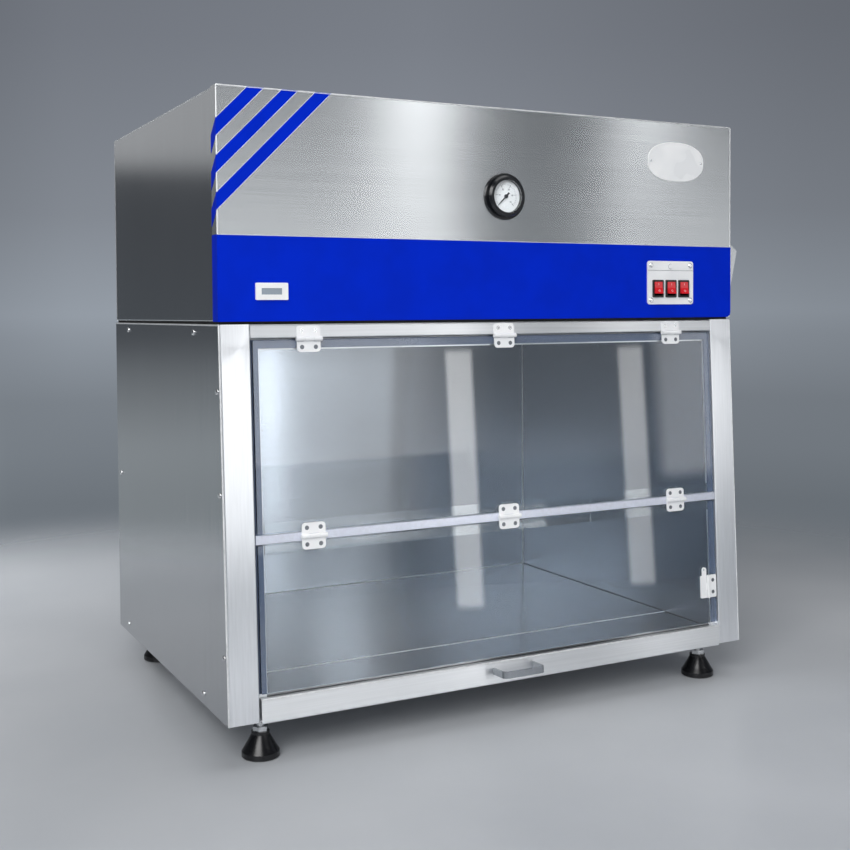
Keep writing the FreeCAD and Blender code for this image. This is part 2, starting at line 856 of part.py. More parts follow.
def switch_plate():
    centre = upper_bottom + plate_rise
    w = plate_width / 2.0
    h = plate_height / 2.0
    front = -plate_t - film_t
    outline = rectangle(plate_x - w, plate_x + w, centre - h, centre + h, plate_corner)
    face = front_plate(outline, front, plate_t)
    ring_start = (plate_x, front - lamp_ring_h, centre + h - lamp_ring_drop)
    ring = rod(lamp_ring_r, lamp_ring_h, ring_start, (0, 1, 0))
    face = face.fuse(ring).removeSplitter()
    cuts = [rod(pan_shank_r, 4 * plate_t, (x, front - plate_t, z), (0, 1, 0))
            for x, z in plate_screw_places()]
    groove_z = centre + h - plate_groove_drop
    cuts.append(box(plate_x - w - plate_t, plate_x + w + plate_t, front - plate_t, front + plate_groove_depth,
                    groove_z - plate_groove_w, groove_z))
    hole_w = rocker_frame_w / 2.0 - plate_t
    hole_h = rocker_frame_h / 2.0 - plate_t
    for x in rocker_xs():
        cuts.append(box(x - hole_w, x + hole_w, front - plate_t, fascia_t, rocker_centre() - hole_h,
                        rocker_centre() + hole_h))
    return face.cut(Part.makeCompound(cuts))


def rocker_frames():
    frames = []
    front = -plate_t - film_t
    centre = rocker_centre()
    w = rocker_frame_w / 2.0
    h = rocker_frame_h / 2.0
    for x in rocker_xs():
        flange = front_plate(rectangle(x - w, x + w, centre - h, centre + h, rocker_frame_corner),
                             front - rocker_frame_proud, rocker_frame_proud)
        body = box(x - w + plate_t, x + w - plate_t, front, rocker_body_depth, centre - h + plate_t,
                   centre + h - plate_t)
        well_w = rocker_width / 2.0 + rocker_side_gap
        well_h = rocker_height / 2.0 + rocker_side_gap
        well = box(x - well_w, x + well_w, -rocker_body_depth, rocker_well_depth,
                   centre - well_h, centre + well_h)
        frames.append(fuse([flange, body]).cut(well))
    return Part.makeCompound(frames)


def rocker_axis_y():
    return -plate_t - film_t + rocker_axis_depth


def rocker(x):
    # Two flat finger faces meeting in a shallow hollow, tipped so that its lower end stands out
    w = rocker_width / 2.0
    h = rocker_height / 2.0
    rise = rocker_axis_depth + rocker_frame_proud + rocker_crest
    spread = h * math.cos(math.radians(rocker_tilt)) - 4 * gap
    lift = math.tan(math.radians(rocker_tilt)) * spread
    finger = -rise - lift * rocker_finger_rise
    heel = spread * rocker_heel_share
    outline = [(finger, -spread), (rocker_dip - rise, 0.0), (finger, spread), (rocker_heel, heel),
               (rocker_axis_depth + rocker_heel, 0.0), (rocker_heel, -heel)]
    body = moved(side_on(plate([(u, v, 0.0) for u, v in outline], 2 * w)), x=-w)
    body.rotate(Vector(0, 0, 0), Vector(1, 0, 0), -rocker_tilt)
    return moved(body, x, rocker_axis_y(), rocker_centre())


def side_hood():
    # Wedge cover with a closed front cheek, open to the rear, over the vent slots
    low = upper_bottom + hood_rise_bottom
    high = upper_bottom + hood_rise_top
    outer = [(0, low), (hood_reach, high - hood_shoulder, hood_nose_r), (0, high)]
    t = hood_t
    inner = [(-t, low + 3 * t), (hood_reach - t, high - hood_shoulder - t, hood_nose_r - bend_r),
             (-t, high - 2 * t)]
    solid = stand_up(plate(outer, hood_length))
    hollow = moved(stand_up(plate(inner, hood_length)), y=t)
    wedge = solid.cut(hollow)
    return moved(wedge, half, hood_front + hood_length, 0).cut(
        box(half, half + t, hood_front + t, hood_front + hood_length, low + 4 * t, high - 4 * t))


def mains_inlet():
    centre = upper_bottom + inlet_rise
    w = inlet_flange_w / 2.0
    h = inlet_flange_h / 2.0
    near = w - inlet_taper
    corners = [(-w, 0), (-near, -h), (near, -h), (w, 0), (near, h), (-near, h)]
    flange = front_plate([(inlet_x + u, centre + v, inlet_corner) for u, v in corners], depth, inlet_flange_t)
    bw = inlet_body_w / 2.0
    bh = inlet_body_h / 2.0
    body = box(inlet_x - bw, inlet_x + bw, depth - inlet_body_depth, depth, centre - bh, centre + bh)
    pocket = box(inlet_x - bw + inlet_wall, inlet_x + bw - inlet_wall,
                 depth + inlet_flange_t - inlet_pocket_depth, depth + 2 * inlet_flange_t,
                 centre - bh + inlet_wall, centre + bh - inlet_wall)
    pins = []
    pin_back = depth + inlet_flange_t - inlet_pocket_depth
    for i, lift in ((-1, -0.5), (0, 0.5), (1, -0.5)):
        pin_start = (inlet_x + inlet_pin_pitch * i, pin_back, centre + inlet_pin_lift * lift)
        pins.append(rod(inlet_pin_r, inlet_pin_length, pin_start, (0, 1, 0)))
    return fuse([flange.fuse(body).cut(pocket)] + pins)


def side_panel():
    # Left side of the lower cabinet: sloped front edge, flanges at the top, rear and bottom
    front_top = panel_setback
    front_bottom = panel_setback - slope_run
    outline = [(front_bottom, base_z), (depth, base_z, bend_r), (depth, lower_top, bend_r),
               (front_top, lower_top)]
    skin = moved(side_on(plate(outline, panel_t)), x=-half)
    top = box(-half, -half + side_flange, front_return + gap, depth, lower_top - panel_t, lower_top)
    rear = box(-half, -half + side_flange, depth - panel_t, depth, base_z, lower_top)
    panel = fuse([skin, top, rear])
    holes = [rod(pan_shank_r, 4 * panel_t, (-half - panel_t, y, z), (1, 0, 0))
             for y, z in side_screw_places()]
    return panel.cut(Part.makeCompound(holes))


def front_post():
    # Left post: outer return inside the side panel, wide face, return and stop lip for the panes
    inner = -post_inner
    path = [(-half + panel_t, front_return), (-half + panel_t, 0), (inner, 0), (inner, stop_setback),
            (inner + stop_width, stop_setback)]
    reach = lower_height + 4 * slope_run
    post = moved(plate(folded(path, panel_t), reach), z=lower_top - reach + 2 * slope_run)
    rail_room = box(inner, inner + 2 * stop_width, -stop_setback, 2 * stop_setback,
                    lower_top - rail_height - stop_drop - gap, lower_top + reach)
    return between_levels(on_slope(post.cut(rail_room)), base_z, lower_top)


def top_rail():
    # Rail between the posts with its own stop lip above the panes
    path = [(front_return, lower_top), (0, lower_top), (0, lower_top - rail_height),
            (stop_setback, lower_top - rail_height), (stop_setback, lower_top - rail_height - stop_drop)]
    length = 2.0 * post_inner
    rail = moved(side_on(plate(folded(path, panel_t), length)), x=-post_inner)
    holes = pane_screw_holes(top_axis_drop, 1)
    return between_levels(on_slope(rail.cut(Part.makeCompound(holes))), base_z, lower_top)


def stop_gasket():
    # Flat seal on the stop lips, down both sides and across the top
    outer = post_inner - bend_r - gap
    inner = post_inner - gasket_width
    top = lower_top - rail_height - bend_r - gap
    low = lower_top - lower_pane_bottom - gap
    shoulder = lower_top - rail_height - gasket_drop
    corners = [(-outer, low), (-inner, low), (-inner, shoulder), (inner, shoulder), (inner, low),
               (outer, low), (outer, top), (-outer, top)]
    return on_slope(front_plate(corners, stop_setback - gasket_t, gasket_t))


def seam_gasket():
    # Black strip between the two units, set in from their outer faces
    inset = panel_setback + panel_t
    strip = side_flange - 2 * inset
    outer = box(-half + inset, half - inset, 2 * inset, depth - inset, lower_top, upper_bottom)
    inner = box(-half + inset + strip, half - inset - strip, 2 * inset + front_return / 2.0,
                depth - inset - strip, lower_top - seam_gap, upper_bottom + seam_gap)
    return outer.cut(inner)


def chamber_liner():
    # Inner walls and back of the chamber, one sheet folded to a U
    back = depth - panel_t - liner_t
    path = [(-liner_half, -slope_run), (-liner_half, back), (liner_half, back), (liner_half, -slope_run)]
    liner = moved(plate(folded(path, liner_t), ceiling_z - base_z - panel_t), z=base_z + panel_t)
    keep = on_slope(box(-big, big, stop_setback + panel_t, big, -big, big))
    return liner.common(keep)


def base_frame():
    # Folded pan under the cabinet with a threaded boss for each foot
    outer = half - panel_t
    edge_z = base_z + base_upstand
    path = [(-outer, edge_z), (-outer, base_z), (outer, base_z), (outer, edge_z)]
    front = -slope_run + front_return + panel_setback
    length = depth - panel_t - front
    pan = moved(stand_up(plate(folded(path, panel_t), length)), y=depth - panel_t)
    bosses = []
    holes = []
    for x, y in foot_places().values():
        bosses.append(moved(plate(hexagon(boss_r), boss_h), x, y, base_z))
        holes.append(rod(stud_r + stud_clearance, 3 * boss_h, (x, y, base_z - boss_h), (0, 0, 1)))
    tongue_half = post_inner - stop_width - gap
    tongue = box(-tongue_half, tongue_half, -slope_run + tray_front_return + tongue_clear, front, base_z,
                 base_z + panel_t)
    return fuse([pan, tongue] + bosses).cut(Part.makeCompound(holes))


def foot_reach():
    return half - foot_inset_x


def foot_places():
    x = foot_reach()
    front = -slope_run + foot_inset_front
    back = depth - foot_inset_back
    return {"front_left": (-x, front), "front_right": (x, front),
            "rear_left": (-x, back), "rear_right": (x, back)}


def work_surface_front():
    # Removable front tray of the floor: sill lip at the front, legs down to the base
    x = liner_half - gap
    path = [(-x, base_z + panel_t), (-x, floor_z), (x, floor_z), (x, base_z + panel_t)]
    path.reverse()
    length = floor_split - gap + slope_run
    top = moved(stand_up(plate(folded(path, floor_t), length)), y=floor_split - gap)
    sill = box(-x, x, -slope_run, floor_split - gap, floor_z - floor_t, floor_z + sill_rise)
    lip = on_slope(box(-x, x, stop_setback + panel_t, stop_setback + panel_t + floor_t, -big, big))
    keep = on_slope(box(-big, big, stop_setback + panel_t, big, -big, big))
    return fuse([top.common(keep), sill.common(lip)])


def work_surface_rear():
    x = liner_half - gap
    path = [(x, base_z + panel_t), (x, floor_z), (-x, floor_z), (-x, base_z + panel_t)]
    back = depth - panel_t - liner_t - gap
    length = back - floor_split - gap
    return moved(stand_up(plate(folded(path, floor_t), length)), y=back)


def diffuser_grille():
    back = depth - panel_t - gap
    sheet = box(-diffuser_half, diffuser_half, diffuser_front, back, ceiling_z, ceiling_z + diffuser_t)
    span_x = 2.0 * (liner_half - lamp_holder_w)
    span_y = back - diffuser_front - 2 * lamp_spacing
    slots = []
    for i in range(diffuser_columns):
        for j in range(diffuser_rows):
            x = -span_x / 2.0 + span_x * (i + 0.5) / diffuser_columns
            y = diffuser_front + diffuser_field_start + span_y * (j + 0.5) / diffuser_rows
            slots.append(box(x - diffuser_slot_l / 2.0, x + diffuser_slot_l / 2.0, y - diffuser_slot_w / 2.0,
                             y + diffuser_slot_w / 2.0, ceiling_z - diffuser_t, ceiling_z + 2 * diffuser_t))
    return sheet.cut(Part.makeCompound(slots))


def lamp_places():
    return [lamp_y, lamp_y + lamp_spacing]


def lamp_tubes():
    z = ceiling_z - lamp_drop
    return Part.makeCompound([rod(lamp_r, lamp_length, (-lamp_length / 2.0, y, z), (1, 0, 0))
                              for y in lamp_places()])


def lamp_holders():
    holders = []
    for y in lamp_places():
        for side in (-1, 1):
            x0 = side * (lamp_length / 2.0 + lamp_pin_clear)
            x1 = side * (lamp_length / 2.0 + lamp_pin_clear + lamp_holder_w)
            near = min(x0, x1)
            face = rectangle(y - lamp_r, y + lamp_r, ceiling_z - lamp_holder_h, ceiling_z, lamp_holder_corner)
            block = moved(side_on(plate(face, lamp_holder_w)), x=near)
            square = box(near, near + lamp_holder_w, y - lamp_r, y + lamp_r,
                         ceiling_z - lamp_drop / 2.0, ceiling_z)
            holders.append(fuse([block, square]))
    return Part.makeCompound(holders)


def pane_screw_holes(axis_drop, way):
    # Clearance holes in a pane for the screws of one row of hinge leaves
    z = lower_top - axis_drop + way * hinge_screw_z
    return [rod(flat_shank_r + pin_clearance, 3 * pane_t, (x + side * hinge_screw_x, -pane_t, z), (0, 1, 0))
            for x in hinge_xs for side in (-1, 1)]


def pane(top, bottom, holes):
    z_low = lower_top - bottom
    z_high = lower_top - top
    sheet = front_plate(rectangle(-pane_half, pane_half, z_low, z_high, bend_r), 0.0, pane_t)
    return on_slope(sheet.cut(Part.makeCompound(holes)))


def upper_pane():
    holes = pane_screw_holes(top_axis_drop, -1) + pane_screw_holes(mid_axis_drop, 1)
    return pane(upper_pane_top, upper_pane_bottom, holes)


def lower_pane():
    holes = pane_screw_holes(mid_axis_drop, -1)
    for z in latch_screw_levels():
        holes.append(rod(flat_shank_r + pin_clearance, 3 * pane_t, (latch_axis_x + latch_screw_x, -pane_t, z),
                         (0, 1, 0)))
    return pane(lower_pane_top, lower_pane_bottom, holes)


def mid_rail():
    z = lower_top - mid_axis_drop
    bar = box(-mid_bar_half, mid_bar_half, layer_gap, pane_t, z - mid_bar_h / 2.0, z + mid_bar_h / 2.0)
    edges = [e for e in bar.Edges if abs(e.CenterOfMass.y - layer_gap) < 0.01 and e.Length > width / 2.0]
    return on_slope(bar.makeChamfer(mid_bar_chamfer, edges))


def closing_strip():
    z = lower_top - mid_axis_drop
    corners = rectangle(-strip_half, strip_half, z - strip_h / 2.0, z + strip_h / 2.0, bend_r)
    return on_slope(front_plate(corners, pane_t, strip_t))


def flat_screw():
    # Countersunk cross-head screw, head flush at z = 0, pointing down
    head = Part.makeCone(flat_shank_r, flat_head_r, flat_head_h, Vector(0, 0, -flat_head_h))
    shank = rod(flat_shank_r, flat_shank_l, (0, 0, -flat_shank_l), (0, 0, 1))
    cross = [box(-cross_l / 2.0, cross_l / 2.0, -cross_w / 2.0, cross_w / 2.0, -cross_depth, 1),
             box(-cross_w / 2.0, cross_w / 2.0, -cross_l / 2.0, cross_l / 2.0, -cross_depth, 1)]
    return head.fuse(shank).removeSplitter().cut(cross[0]).cut(cross[1])


def countersink():
    # Room for a flat screw through a leaf, with a hair of clearance all round
    hole_r = flat_shank_r + pin_clearance
    wide = Part.makeCone(hole_r, flat_head_r + pin_clearance, flat_head_h, Vector(0, 0, -flat_head_h))
    return wide.fuse(rod(hole_r, 2 * flat_shank_l, (0, 0, -2 * flat_shank_l), (0, 0, 1)))


def barrel_spans(centre_piece):
    # Lengths of barrel along x that belong to one leaf
    mid = hinge_centre_seg / 2.0
    if centre_piece:
        return [(-mid, mid)]
    return [(-hinge_barrel / 2.0, -mid - hinge_seg_gap), (mid + hinge_seg_gap, hinge_barrel / 2.0)]


def hinge_leaf(way, centre_piece):
    # Leaf with its axis along x through the origin, back face at y = knuckle radius, reaching +z or -z
    w = hinge_w / 2.0
    clear = knuckle_r + gap
    reach = hinge_reach
    corners = [(-w, clear), (w, clear), (w, reach, hinge_corner), (-w, reach, hinge_corner)]
    back = knuckle_r
    leaf = front_plate(corners, back - leaf_t, leaf_t)
    pieces = [leaf]
    for start, end in barrel_spans(centre_piece):
        pieces.append(rod(knuckle_r, end - start, (start, 0, 0), (1, 0, 0)))
        tab_end = min(end, w)
        tab_start = max(start, -w)
        pieces.append(box(tab_start, tab_end, back - leaf_t, back, 0, clear))
    bore = rod(hinge_pin_r + pin_clearance, 2 * hinge_barrel, (-hinge_barrel, 0, 0), (1, 0, 0))
    body = fuse(pieces).cut(bore)
    sinks = [moved(facing(countersink(), "front"), side * hinge_screw_x, back - leaf_t, hinge_screw_z)
             for side in (-1, 1)]
    body = body.cut(Part.makeCompound(sinks))
    if way < 0:
        body = body.mirror(Vector(0, 0, 0), Vector(0, 0, 1))
    return body


def hinge_row(axis_drop, way, centre_piece):
    leaf = hinge_leaf(way, centre_piece)
    return [on_slope(moved(leaf, x, -knuckle_r, lower_top - axis_drop)) for x in hinge_xs]


def hinge_pins(axis_drop):
    pins = []
    for x in hinge_xs:
        start = (x - hinge_barrel / 2.0, -knuckle_r, lower_top - axis_drop)
        pins.append(on_slope(rod(hinge_pin_r, hinge_barrel, start, (1, 0, 0))))
    return pins


def hinge_screws(axis_drop, way):
    screws = []
    screw = facing(flat_screw(), "front")
    for x in hinge_xs:
        for side in (-1, 1):
            z = lower_top - axis_drop + way * hinge_screw_z
            screws.append(on_slope(moved(screw, x + side * hinge_screw_x, -leaf_t, z)))
    return screws


def latch_screw_levels():
    top = lower_top - latch_top
    return (top - latch_screw_inset, top - latch_height + latch_screw_inset)


def latch_leaf(reach, way, ends):
    # Leaf of the latch with its pin along z, back face on the pane, reaching towards way * x
    top = lower_top - latch_top
    low = top - latch_height
    clear = latch_knuckle_r + gap
    u0 = way * clear
    u1 = way * reach
    corners = rectangle(min(u0, u1), max(u0, u1), low, top, 0.0)
    outer = [(u, v, latch_corner if abs(u - u1) < 0.01 else 0.0) for u, v, r in corners]
    pieces = [front_plate(outer, latch_knuckle_r - leaf_t, leaf_t)]
    third = latch_height / 3.0
    spans = [(low, low + third), (top - third, top)] if ends else [(low + third + gap, top - third - gap)]
    for start, end in spans:
        pieces.append(rod(latch_knuckle_r, end - start, (0, 0, start), (0, 0, 1)))
        pieces.append(box(min(0, u0), max(0, u0), latch_knuckle_r - leaf_t, latch_knuckle_r, start, end))
    return pieces


def latch_plate():
    body = fuse(latch_leaf(latch_plate_reach, 1, True))
    low = lower_top - latch_top - latch_height
    bore = rod(latch_pin_r + pin_clearance, 2 * latch_height, (0, 0, low - latch_height / 2.0), (0, 0, 1))
    sinks = [moved(facing(countersink(), "front"), latch_screw_x, latch_knuckle_r - leaf_t, z)
             for z in latch_screw_levels()]
    body = body.cut(bore).cut(Part.makeCompound(sinks))
    return on_slope(moved(body, latch_axis_x, -latch_knuckle_r, 0))


def latch_flap():
    # Swinging leaf with a rounded, pierced tab at its top, and the pin fixed in it
    pieces = latch_leaf(latch_flap_reach, -1, False)
    top = lower_top - latch_top
    r = latch_tab_w / 2.0
    left = latch_tab_x - r
    right = latch_tab_x + r
    tab = [(left, top - latch_tab_root), (right, top - latch_tab_root),
           (right, top + latch_tab_h, latch_tab_corner), (left, top + latch_tab_h, latch_tab_corner)]
    pieces.append(front_plate(tab, latch_knuckle_r - leaf_t, leaf_t))
    pieces.append(rod(latch_pin_r, latch_height, (0, 0, top - latch_height), (0, 0, 1)))
    body = fuse(pieces)
    hole = rod(latch_tab_hole_r, 4 * leaf_t, (latch_tab_x, -leaf_t, top + latch_tab_h - r), (0, 1, 0))
    return on_slope(moved(body.cut(hole), latch_axis_x, -latch_knuckle_r, 0))


def latch_screws():
    screw = facing(flat_screw(), "front")
    return [on_slope(moved(screw, latch_axis_x + latch_screw_x, -leaf_t, z)) for z in latch_screw_levels()]


def spill_tray():
    # Shallow pan with a folded front that closes the bottom of the cabinet
    path = [(tray_front_return, lower_top - tray_front_top), (-tray_front_proud, lower_top - tray_front_top),
            (-tray_front_proud, lower_top - tray_front_bottom),
            (tray_front_return, lower_top - tray_front_bottom)]
    front = moved(side_on(plate(folded(path, tray_t), 2 * tray_front_half)), x=-tray_front_half)
    front = on_slope(front)
    z_low = base_z + panel_t + gap
    y_front = -slope_run + tray_front_return - tray_pan_setback
    y_back = y_front + tray_length
    outer = box(-tray_half, tray_half, y_front, y_back, z_low, z_low + tray_wall_h)
    inner = box(-tray_half + tray_t, tray_half - tray_t, y_front + tray_t, y_back - tray_t, z_low + tray_t,
                z_low + 2 * tray_wall_h)
    closing = box(-tray_half, tray_half, y_front, y_front + tray_t,
                  lower_top - tray_front_bottom + tray_t, lower_top - tray_front_top - tray_t / 2.0)
    return fuse([front, outer.cut(inner), closing])


def tray_handle():
    # Flat strip bent to a U, feet against the bottom front panel
    y0 = -tray_front_proud
    y1 = y0 - handle_out
    w = handle_half
    path = [(w, y0), (w, y1), (-w, y1), (-w, y0)]
    path.reverse()
    strip = plate(folded(path, handle_t, handle_bend - handle_t), handle_h)
    return on_slope(moved(strip, z=lower_top - handle_drop - handle_h / 2.0))


def foot_base(x, y):
    # Moulded cone with a rolled rim under it and a short neck
    profile = [(0, 0), (foot_sole_r, 0), (foot_rim_r, foot_rim_low), (foot_rim_r, foot_rim_high),
               (foot_shoulder_r, foot_shoulder_h), (foot_neck_r, foot_neck_h), (foot_neck_r, foot_top_h),
               (stud_r, foot_top_h), (stud_r, foot_top_h - stud_sink), (0, foot_top_h - stud_sink)]
    return moved(turned_profile(profile), x, y, 0)


def foot_stud(x, y):
    collar = moved(plate(hexagon(collar_r), collar_h), z=foot_top_h)
    low = foot_top_h - stud_sink
    stud = rod(stud_r, stud_top - low, (0, 0, low), (0, 0, 1))
    return moved(fuse([collar, stud]), x, y, 0)


def save(name, shape):
    placed = moved(shape, -origin_x, -origin_y, 0)
    placed.exportStep("parts/" + name + ".step")


def build():
    os.makedirs("parts", exist_ok=True)
    save("upper_fascia", fascia())
    save("upper_shell", upper_shell())
    save("upper_back_panel", upper_back_panel())
    save("blue_films", blue_films())
    save("blower_deck", blower_deck())
    save("prefilter_grille", prefilter_grille())
    save("prefilter_pad", prefilter_pad())
    save("filter_pack", Part.makeCompound([filter_frame(), filter_pleats()]))
    save("blower_scroll", blower_scroll())
    save("blower_motor", blower_motor())
    save("blower_impeller", blower_impeller())
    save("gauge_case", gauge_case())
    save("gauge_dial", gauge_dial())
    save("gauge_glass", gauge_glass())
    save("gauge_pointer", gauge_pointer())
    save("hour_meter", hour_meter())
    save("switch_plate", switch_plate())
    save("rocker_frames", rocker_frames())
    for name, x in zip(("rocker_left", "rocker_middle", "rocker_right"), rocker_xs()):
        save(name, rocker(x))
    save("side_hood", side_hood())
    save("mains_inlet", mains_inlet())
    save("cabinet_screws", cabinet_screws())
    save("seam_gasket", seam_gasket())
    left_panel = side_panel()
    save("side_panel_left", left_panel)
    save("side_panel_right", mirrored_x(left_panel))
    left_post = front_post()
    save("front_post_left", left_post)
    save("front_post_right", mirrored_x(left_post))
    save("top_rail", top_rail())
    save("stop_gasket", stop_gasket())
    save("chamber_liner", chamber_liner())
    save("base_frame", base_frame())
    save("work_surface_front", work_surface_front())
    save("work_surface_rear", work_surface_rear())
    save("diffuser_grille", diffuser_grille())
    save("lamp_tubes", lamp_tubes())
    save("lamp_holders", lamp_holders())
    save("top_hinges", Part.makeCompound(hinge_row(top_axis_drop, 1, False) + hinge_pins(top_axis_drop)))
    save("upper_pane", upper_pane())
    save("mid_rail", mid_rail())
    save("closing_strip", closing_strip())
    save("upper_sash_hinges", Part.makeCompound(hinge_row(top_axis_drop, -1, True)
                                                + hinge_row(mid_axis_drop, 1, False)
                                                + hinge_pins(mid_axis_drop)))
    save("upper_sash_screws", Part.makeCompound(hinge_screws(top_axis_drop, -1)
                                                + hinge_screws(mid_axis_drop, 1)))
    save("lower_pane", lower_pane())
    save("lower_sash_hinges", Part.makeCompound(hinge_row(mid_axis_drop, -1, True)))
    save("lower_sash_screws", Part.makeCompound(hinge_screws(mid_axis_drop, -1) + latch_screws()))
    save("latch_plate", latch_plate())
    save("latch_flap", latch_flap())
    save("spill_tray", spill_tray())
    save("tray_handle", tray_handle())
    for name, (x, y) in foot_places().items():
        save("foot_" + name, foot_base(x, y))
        save("foot_stud_" + name, foot_stud(x, y))


build()
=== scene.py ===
"""Looks of a bench-top stainless clean cabinet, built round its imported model."""

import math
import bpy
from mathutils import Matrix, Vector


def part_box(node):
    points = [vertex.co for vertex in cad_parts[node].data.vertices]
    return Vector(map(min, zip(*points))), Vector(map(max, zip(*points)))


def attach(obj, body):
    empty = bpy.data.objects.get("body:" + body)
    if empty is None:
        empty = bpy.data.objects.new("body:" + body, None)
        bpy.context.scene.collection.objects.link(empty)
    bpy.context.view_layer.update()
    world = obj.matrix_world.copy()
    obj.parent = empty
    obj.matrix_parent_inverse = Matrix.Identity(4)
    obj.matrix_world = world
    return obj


bl_info = {
    "name": "Clean cabinet looks",
    "version": (1, 0, 0),
    "blender": (4, 5, 0),
    "location": "3D View > Sidebar > Cabinet",
    "description": "Finishes and small fittings of a stainless clean cabinet, with its plain studio",
    "category": "Object",
}

import bmesh
import bpy
from bpy.props import FloatProperty, FloatVectorProperty, PointerProperty
from mathutils import Matrix, Vector

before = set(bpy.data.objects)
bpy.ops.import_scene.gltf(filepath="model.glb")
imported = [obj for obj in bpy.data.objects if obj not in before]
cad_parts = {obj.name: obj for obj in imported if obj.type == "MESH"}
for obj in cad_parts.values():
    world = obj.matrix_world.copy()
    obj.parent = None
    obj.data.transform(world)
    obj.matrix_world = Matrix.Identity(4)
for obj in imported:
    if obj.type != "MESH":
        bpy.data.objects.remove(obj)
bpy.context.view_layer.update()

# Noise seldom leaves this span, so roughness is spread over it
NOISE_LOW, NOISE_HIGH = 0.3, 0.7
# Noise of a ground sheet, per metre. Real scratches are about 0.1 mm apart; these are 2 to 3 mm, so that
# they show in the render
ACROSS_SCRATCHES, ALONG_SCRATCHES = 360.0, 5.0


# ---------------------------------------------------------------- colour and nodes
def linear(hex_code):
    """Linear RGBA from an sRGB hex colour."""
    out = []
    for i in (0, 2, 4):
        c = int(hex_code[i:i + 2], 16) / 255.0
        out.append(c / 12.92 if c <= 0.04045 else ((c + 0.055) / 1.055) ** 2.4)
    return (*out, 1.0)


def shade(colour, factor):
    """The same colour, lighter or darker."""
    return tuple(min(1.0, c * factor) for c in colour[:3]) + (1.0,)


def add(tree, kind, values=None, links=None, stops=(), **settings):
    """Adds one node with its settings, input values, incoming links and colour stops."""
    made = tree.nodes.new(kind)
    for key, value in settings.items():
        setattr(made, key, value)
    for key, value in (values or {}).items():
        made.inputs[key].default_value = value
    for key, socket in (links or {}).items():
        tree.links.new(socket, made.inputs[key])
    if stops:
        elements = made.color_ramp.elements
        while len(elements) < len(stops):
            elements.new(0.5)
        for element, (place, colour) in zip(elements, stops):
            element.position = place
            element.color = colour
    return made


def new_material(name):
    """Empty node material with its shader and output."""
    material = bpy.data.materials.new(name)
    material.use_nodes = True
    tree = material.node_tree
    tree.nodes.clear()
    shader = add(tree, "ShaderNodeBsdfPrincipled")
    add(tree, "ShaderNodeOutputMaterial", links={"Surface": shader.outputs["BSDF"]})
    return material, tree, shader


def object_grain(tree, scale, detail):
    """Noise stretched by a scale per axis, counted per metre of the object."""
    place = add(tree, "ShaderNodeTexCoord").outputs["Object"]
    mapped = add(tree, "ShaderNodeMapping", {"Scale": scale}, {"Vector": place})
    noise = add(tree, "ShaderNodeTexNoise", {"Scale": 1.0, "Detail": detail, "Roughness": 0.55},
                {"Vector": mapped.outputs["Vector"]})
    return noise.outputs["Fac"]


def uneven(tree, shader, tone, stops, cloud, low, high):
    """Lets the colour follow one noise, and the roughness follow another between two limits."""
    colours = add(tree, "ShaderNodeValToRGB", None, {"Fac": tone}, stops)
    tree.links.new(colours.outputs["Color"], shader.inputs["Base Color"])
    rough = add(tree, "ShaderNodeMapRange", {"From Min": NOISE_LOW, "From Max": NOISE_HIGH, "To Min": low,
                                             "To Max": high}, {"Value": cloud})
    tree.links.new(rough.outputs["Result"], shader.inputs["Roughness"])


def show_instead(tree, shader, share, other):
    """Shows another shader in place of the first one, by a share from 0 to 1."""
    mix = add(tree, "ShaderNodeMixShader", None, {0: share, 1: shader.outputs["BSDF"], 2: other.outputs["BSDF"]})
    output = next(node for node in tree.nodes if node.bl_idname == "ShaderNodeOutputMaterial")
    tree.links.new(mix.outputs["Shader"], output.inputs["Surface"])


def satin_stainless(name, colour, grain_axis, roughness, spread="Z", turn=0.0, drawn=0.9):
    """Belt-ground stainless sheet: long scratches along an axis, reflections drawn out across them."""
    material, tree, shader = new_material(name)
    scale = [ALONG_SCRATCHES if letter in grain_axis else ACROSS_SCRATCHES for letter in "XYZ"]
    scratches = object_grain(tree, tuple(scale), 1.5)
    cloud = object_grain(tree, (4.0, 4.0, 4.0), 2.0)
    mix = add(tree, "ShaderNodeMix", {"Factor": 0.8}, {"A": cloud, "B": scratches})
    full = linear(colour)
    uneven(tree, shader, mix.outputs["Result"], [(0.3, shade(full, 0.95)), (0.7, shade(full, 1.04))],
           cloud, roughness - 0.006, roughness + 0.006)
    across = add(tree, "ShaderNodeTangent", direction_type="RADIAL", axis=spread)
    tree.links.new(across.outputs["Tangent"], shader.inputs["Tangent"])
    shader.inputs["Metallic"].default_value = 1.0
    shader.inputs["Anisotropic"].default_value = drawn
    shader.inputs["Anisotropic Rotation"].default_value = turn
    return material


def moulded(name, colour, roughness, grain=0.00003, ior=1.5, cell=900.0):
    """Moulded plastic, rubber or enamel: one colour with a fine even texture and slight unevenness."""
    material, tree, shader = new_material(name)
    fine = object_grain(tree, (cell, cell, cell), 2.0)
    cloud = object_grain(tree, (18.0, 18.0, 18.0), 2.0)
    full = linear(colour) if isinstance(colour, str) else tuple(colour)
    uneven(tree, shader, cloud, [(0.35, shade(full, 0.94)), (0.65, shade(full, 1.05))],
           cloud, roughness * 0.85, min(1.0, roughness * 1.15))
    bump = add(tree, "ShaderNodeBump", {"Strength": 0.3, "Distance": grain}, {"Height": fine})
    tree.links.new(bump.outputs["Normal"], shader.inputs["Normal"])
    shader.inputs["IOR"].default_value = ior
    return material


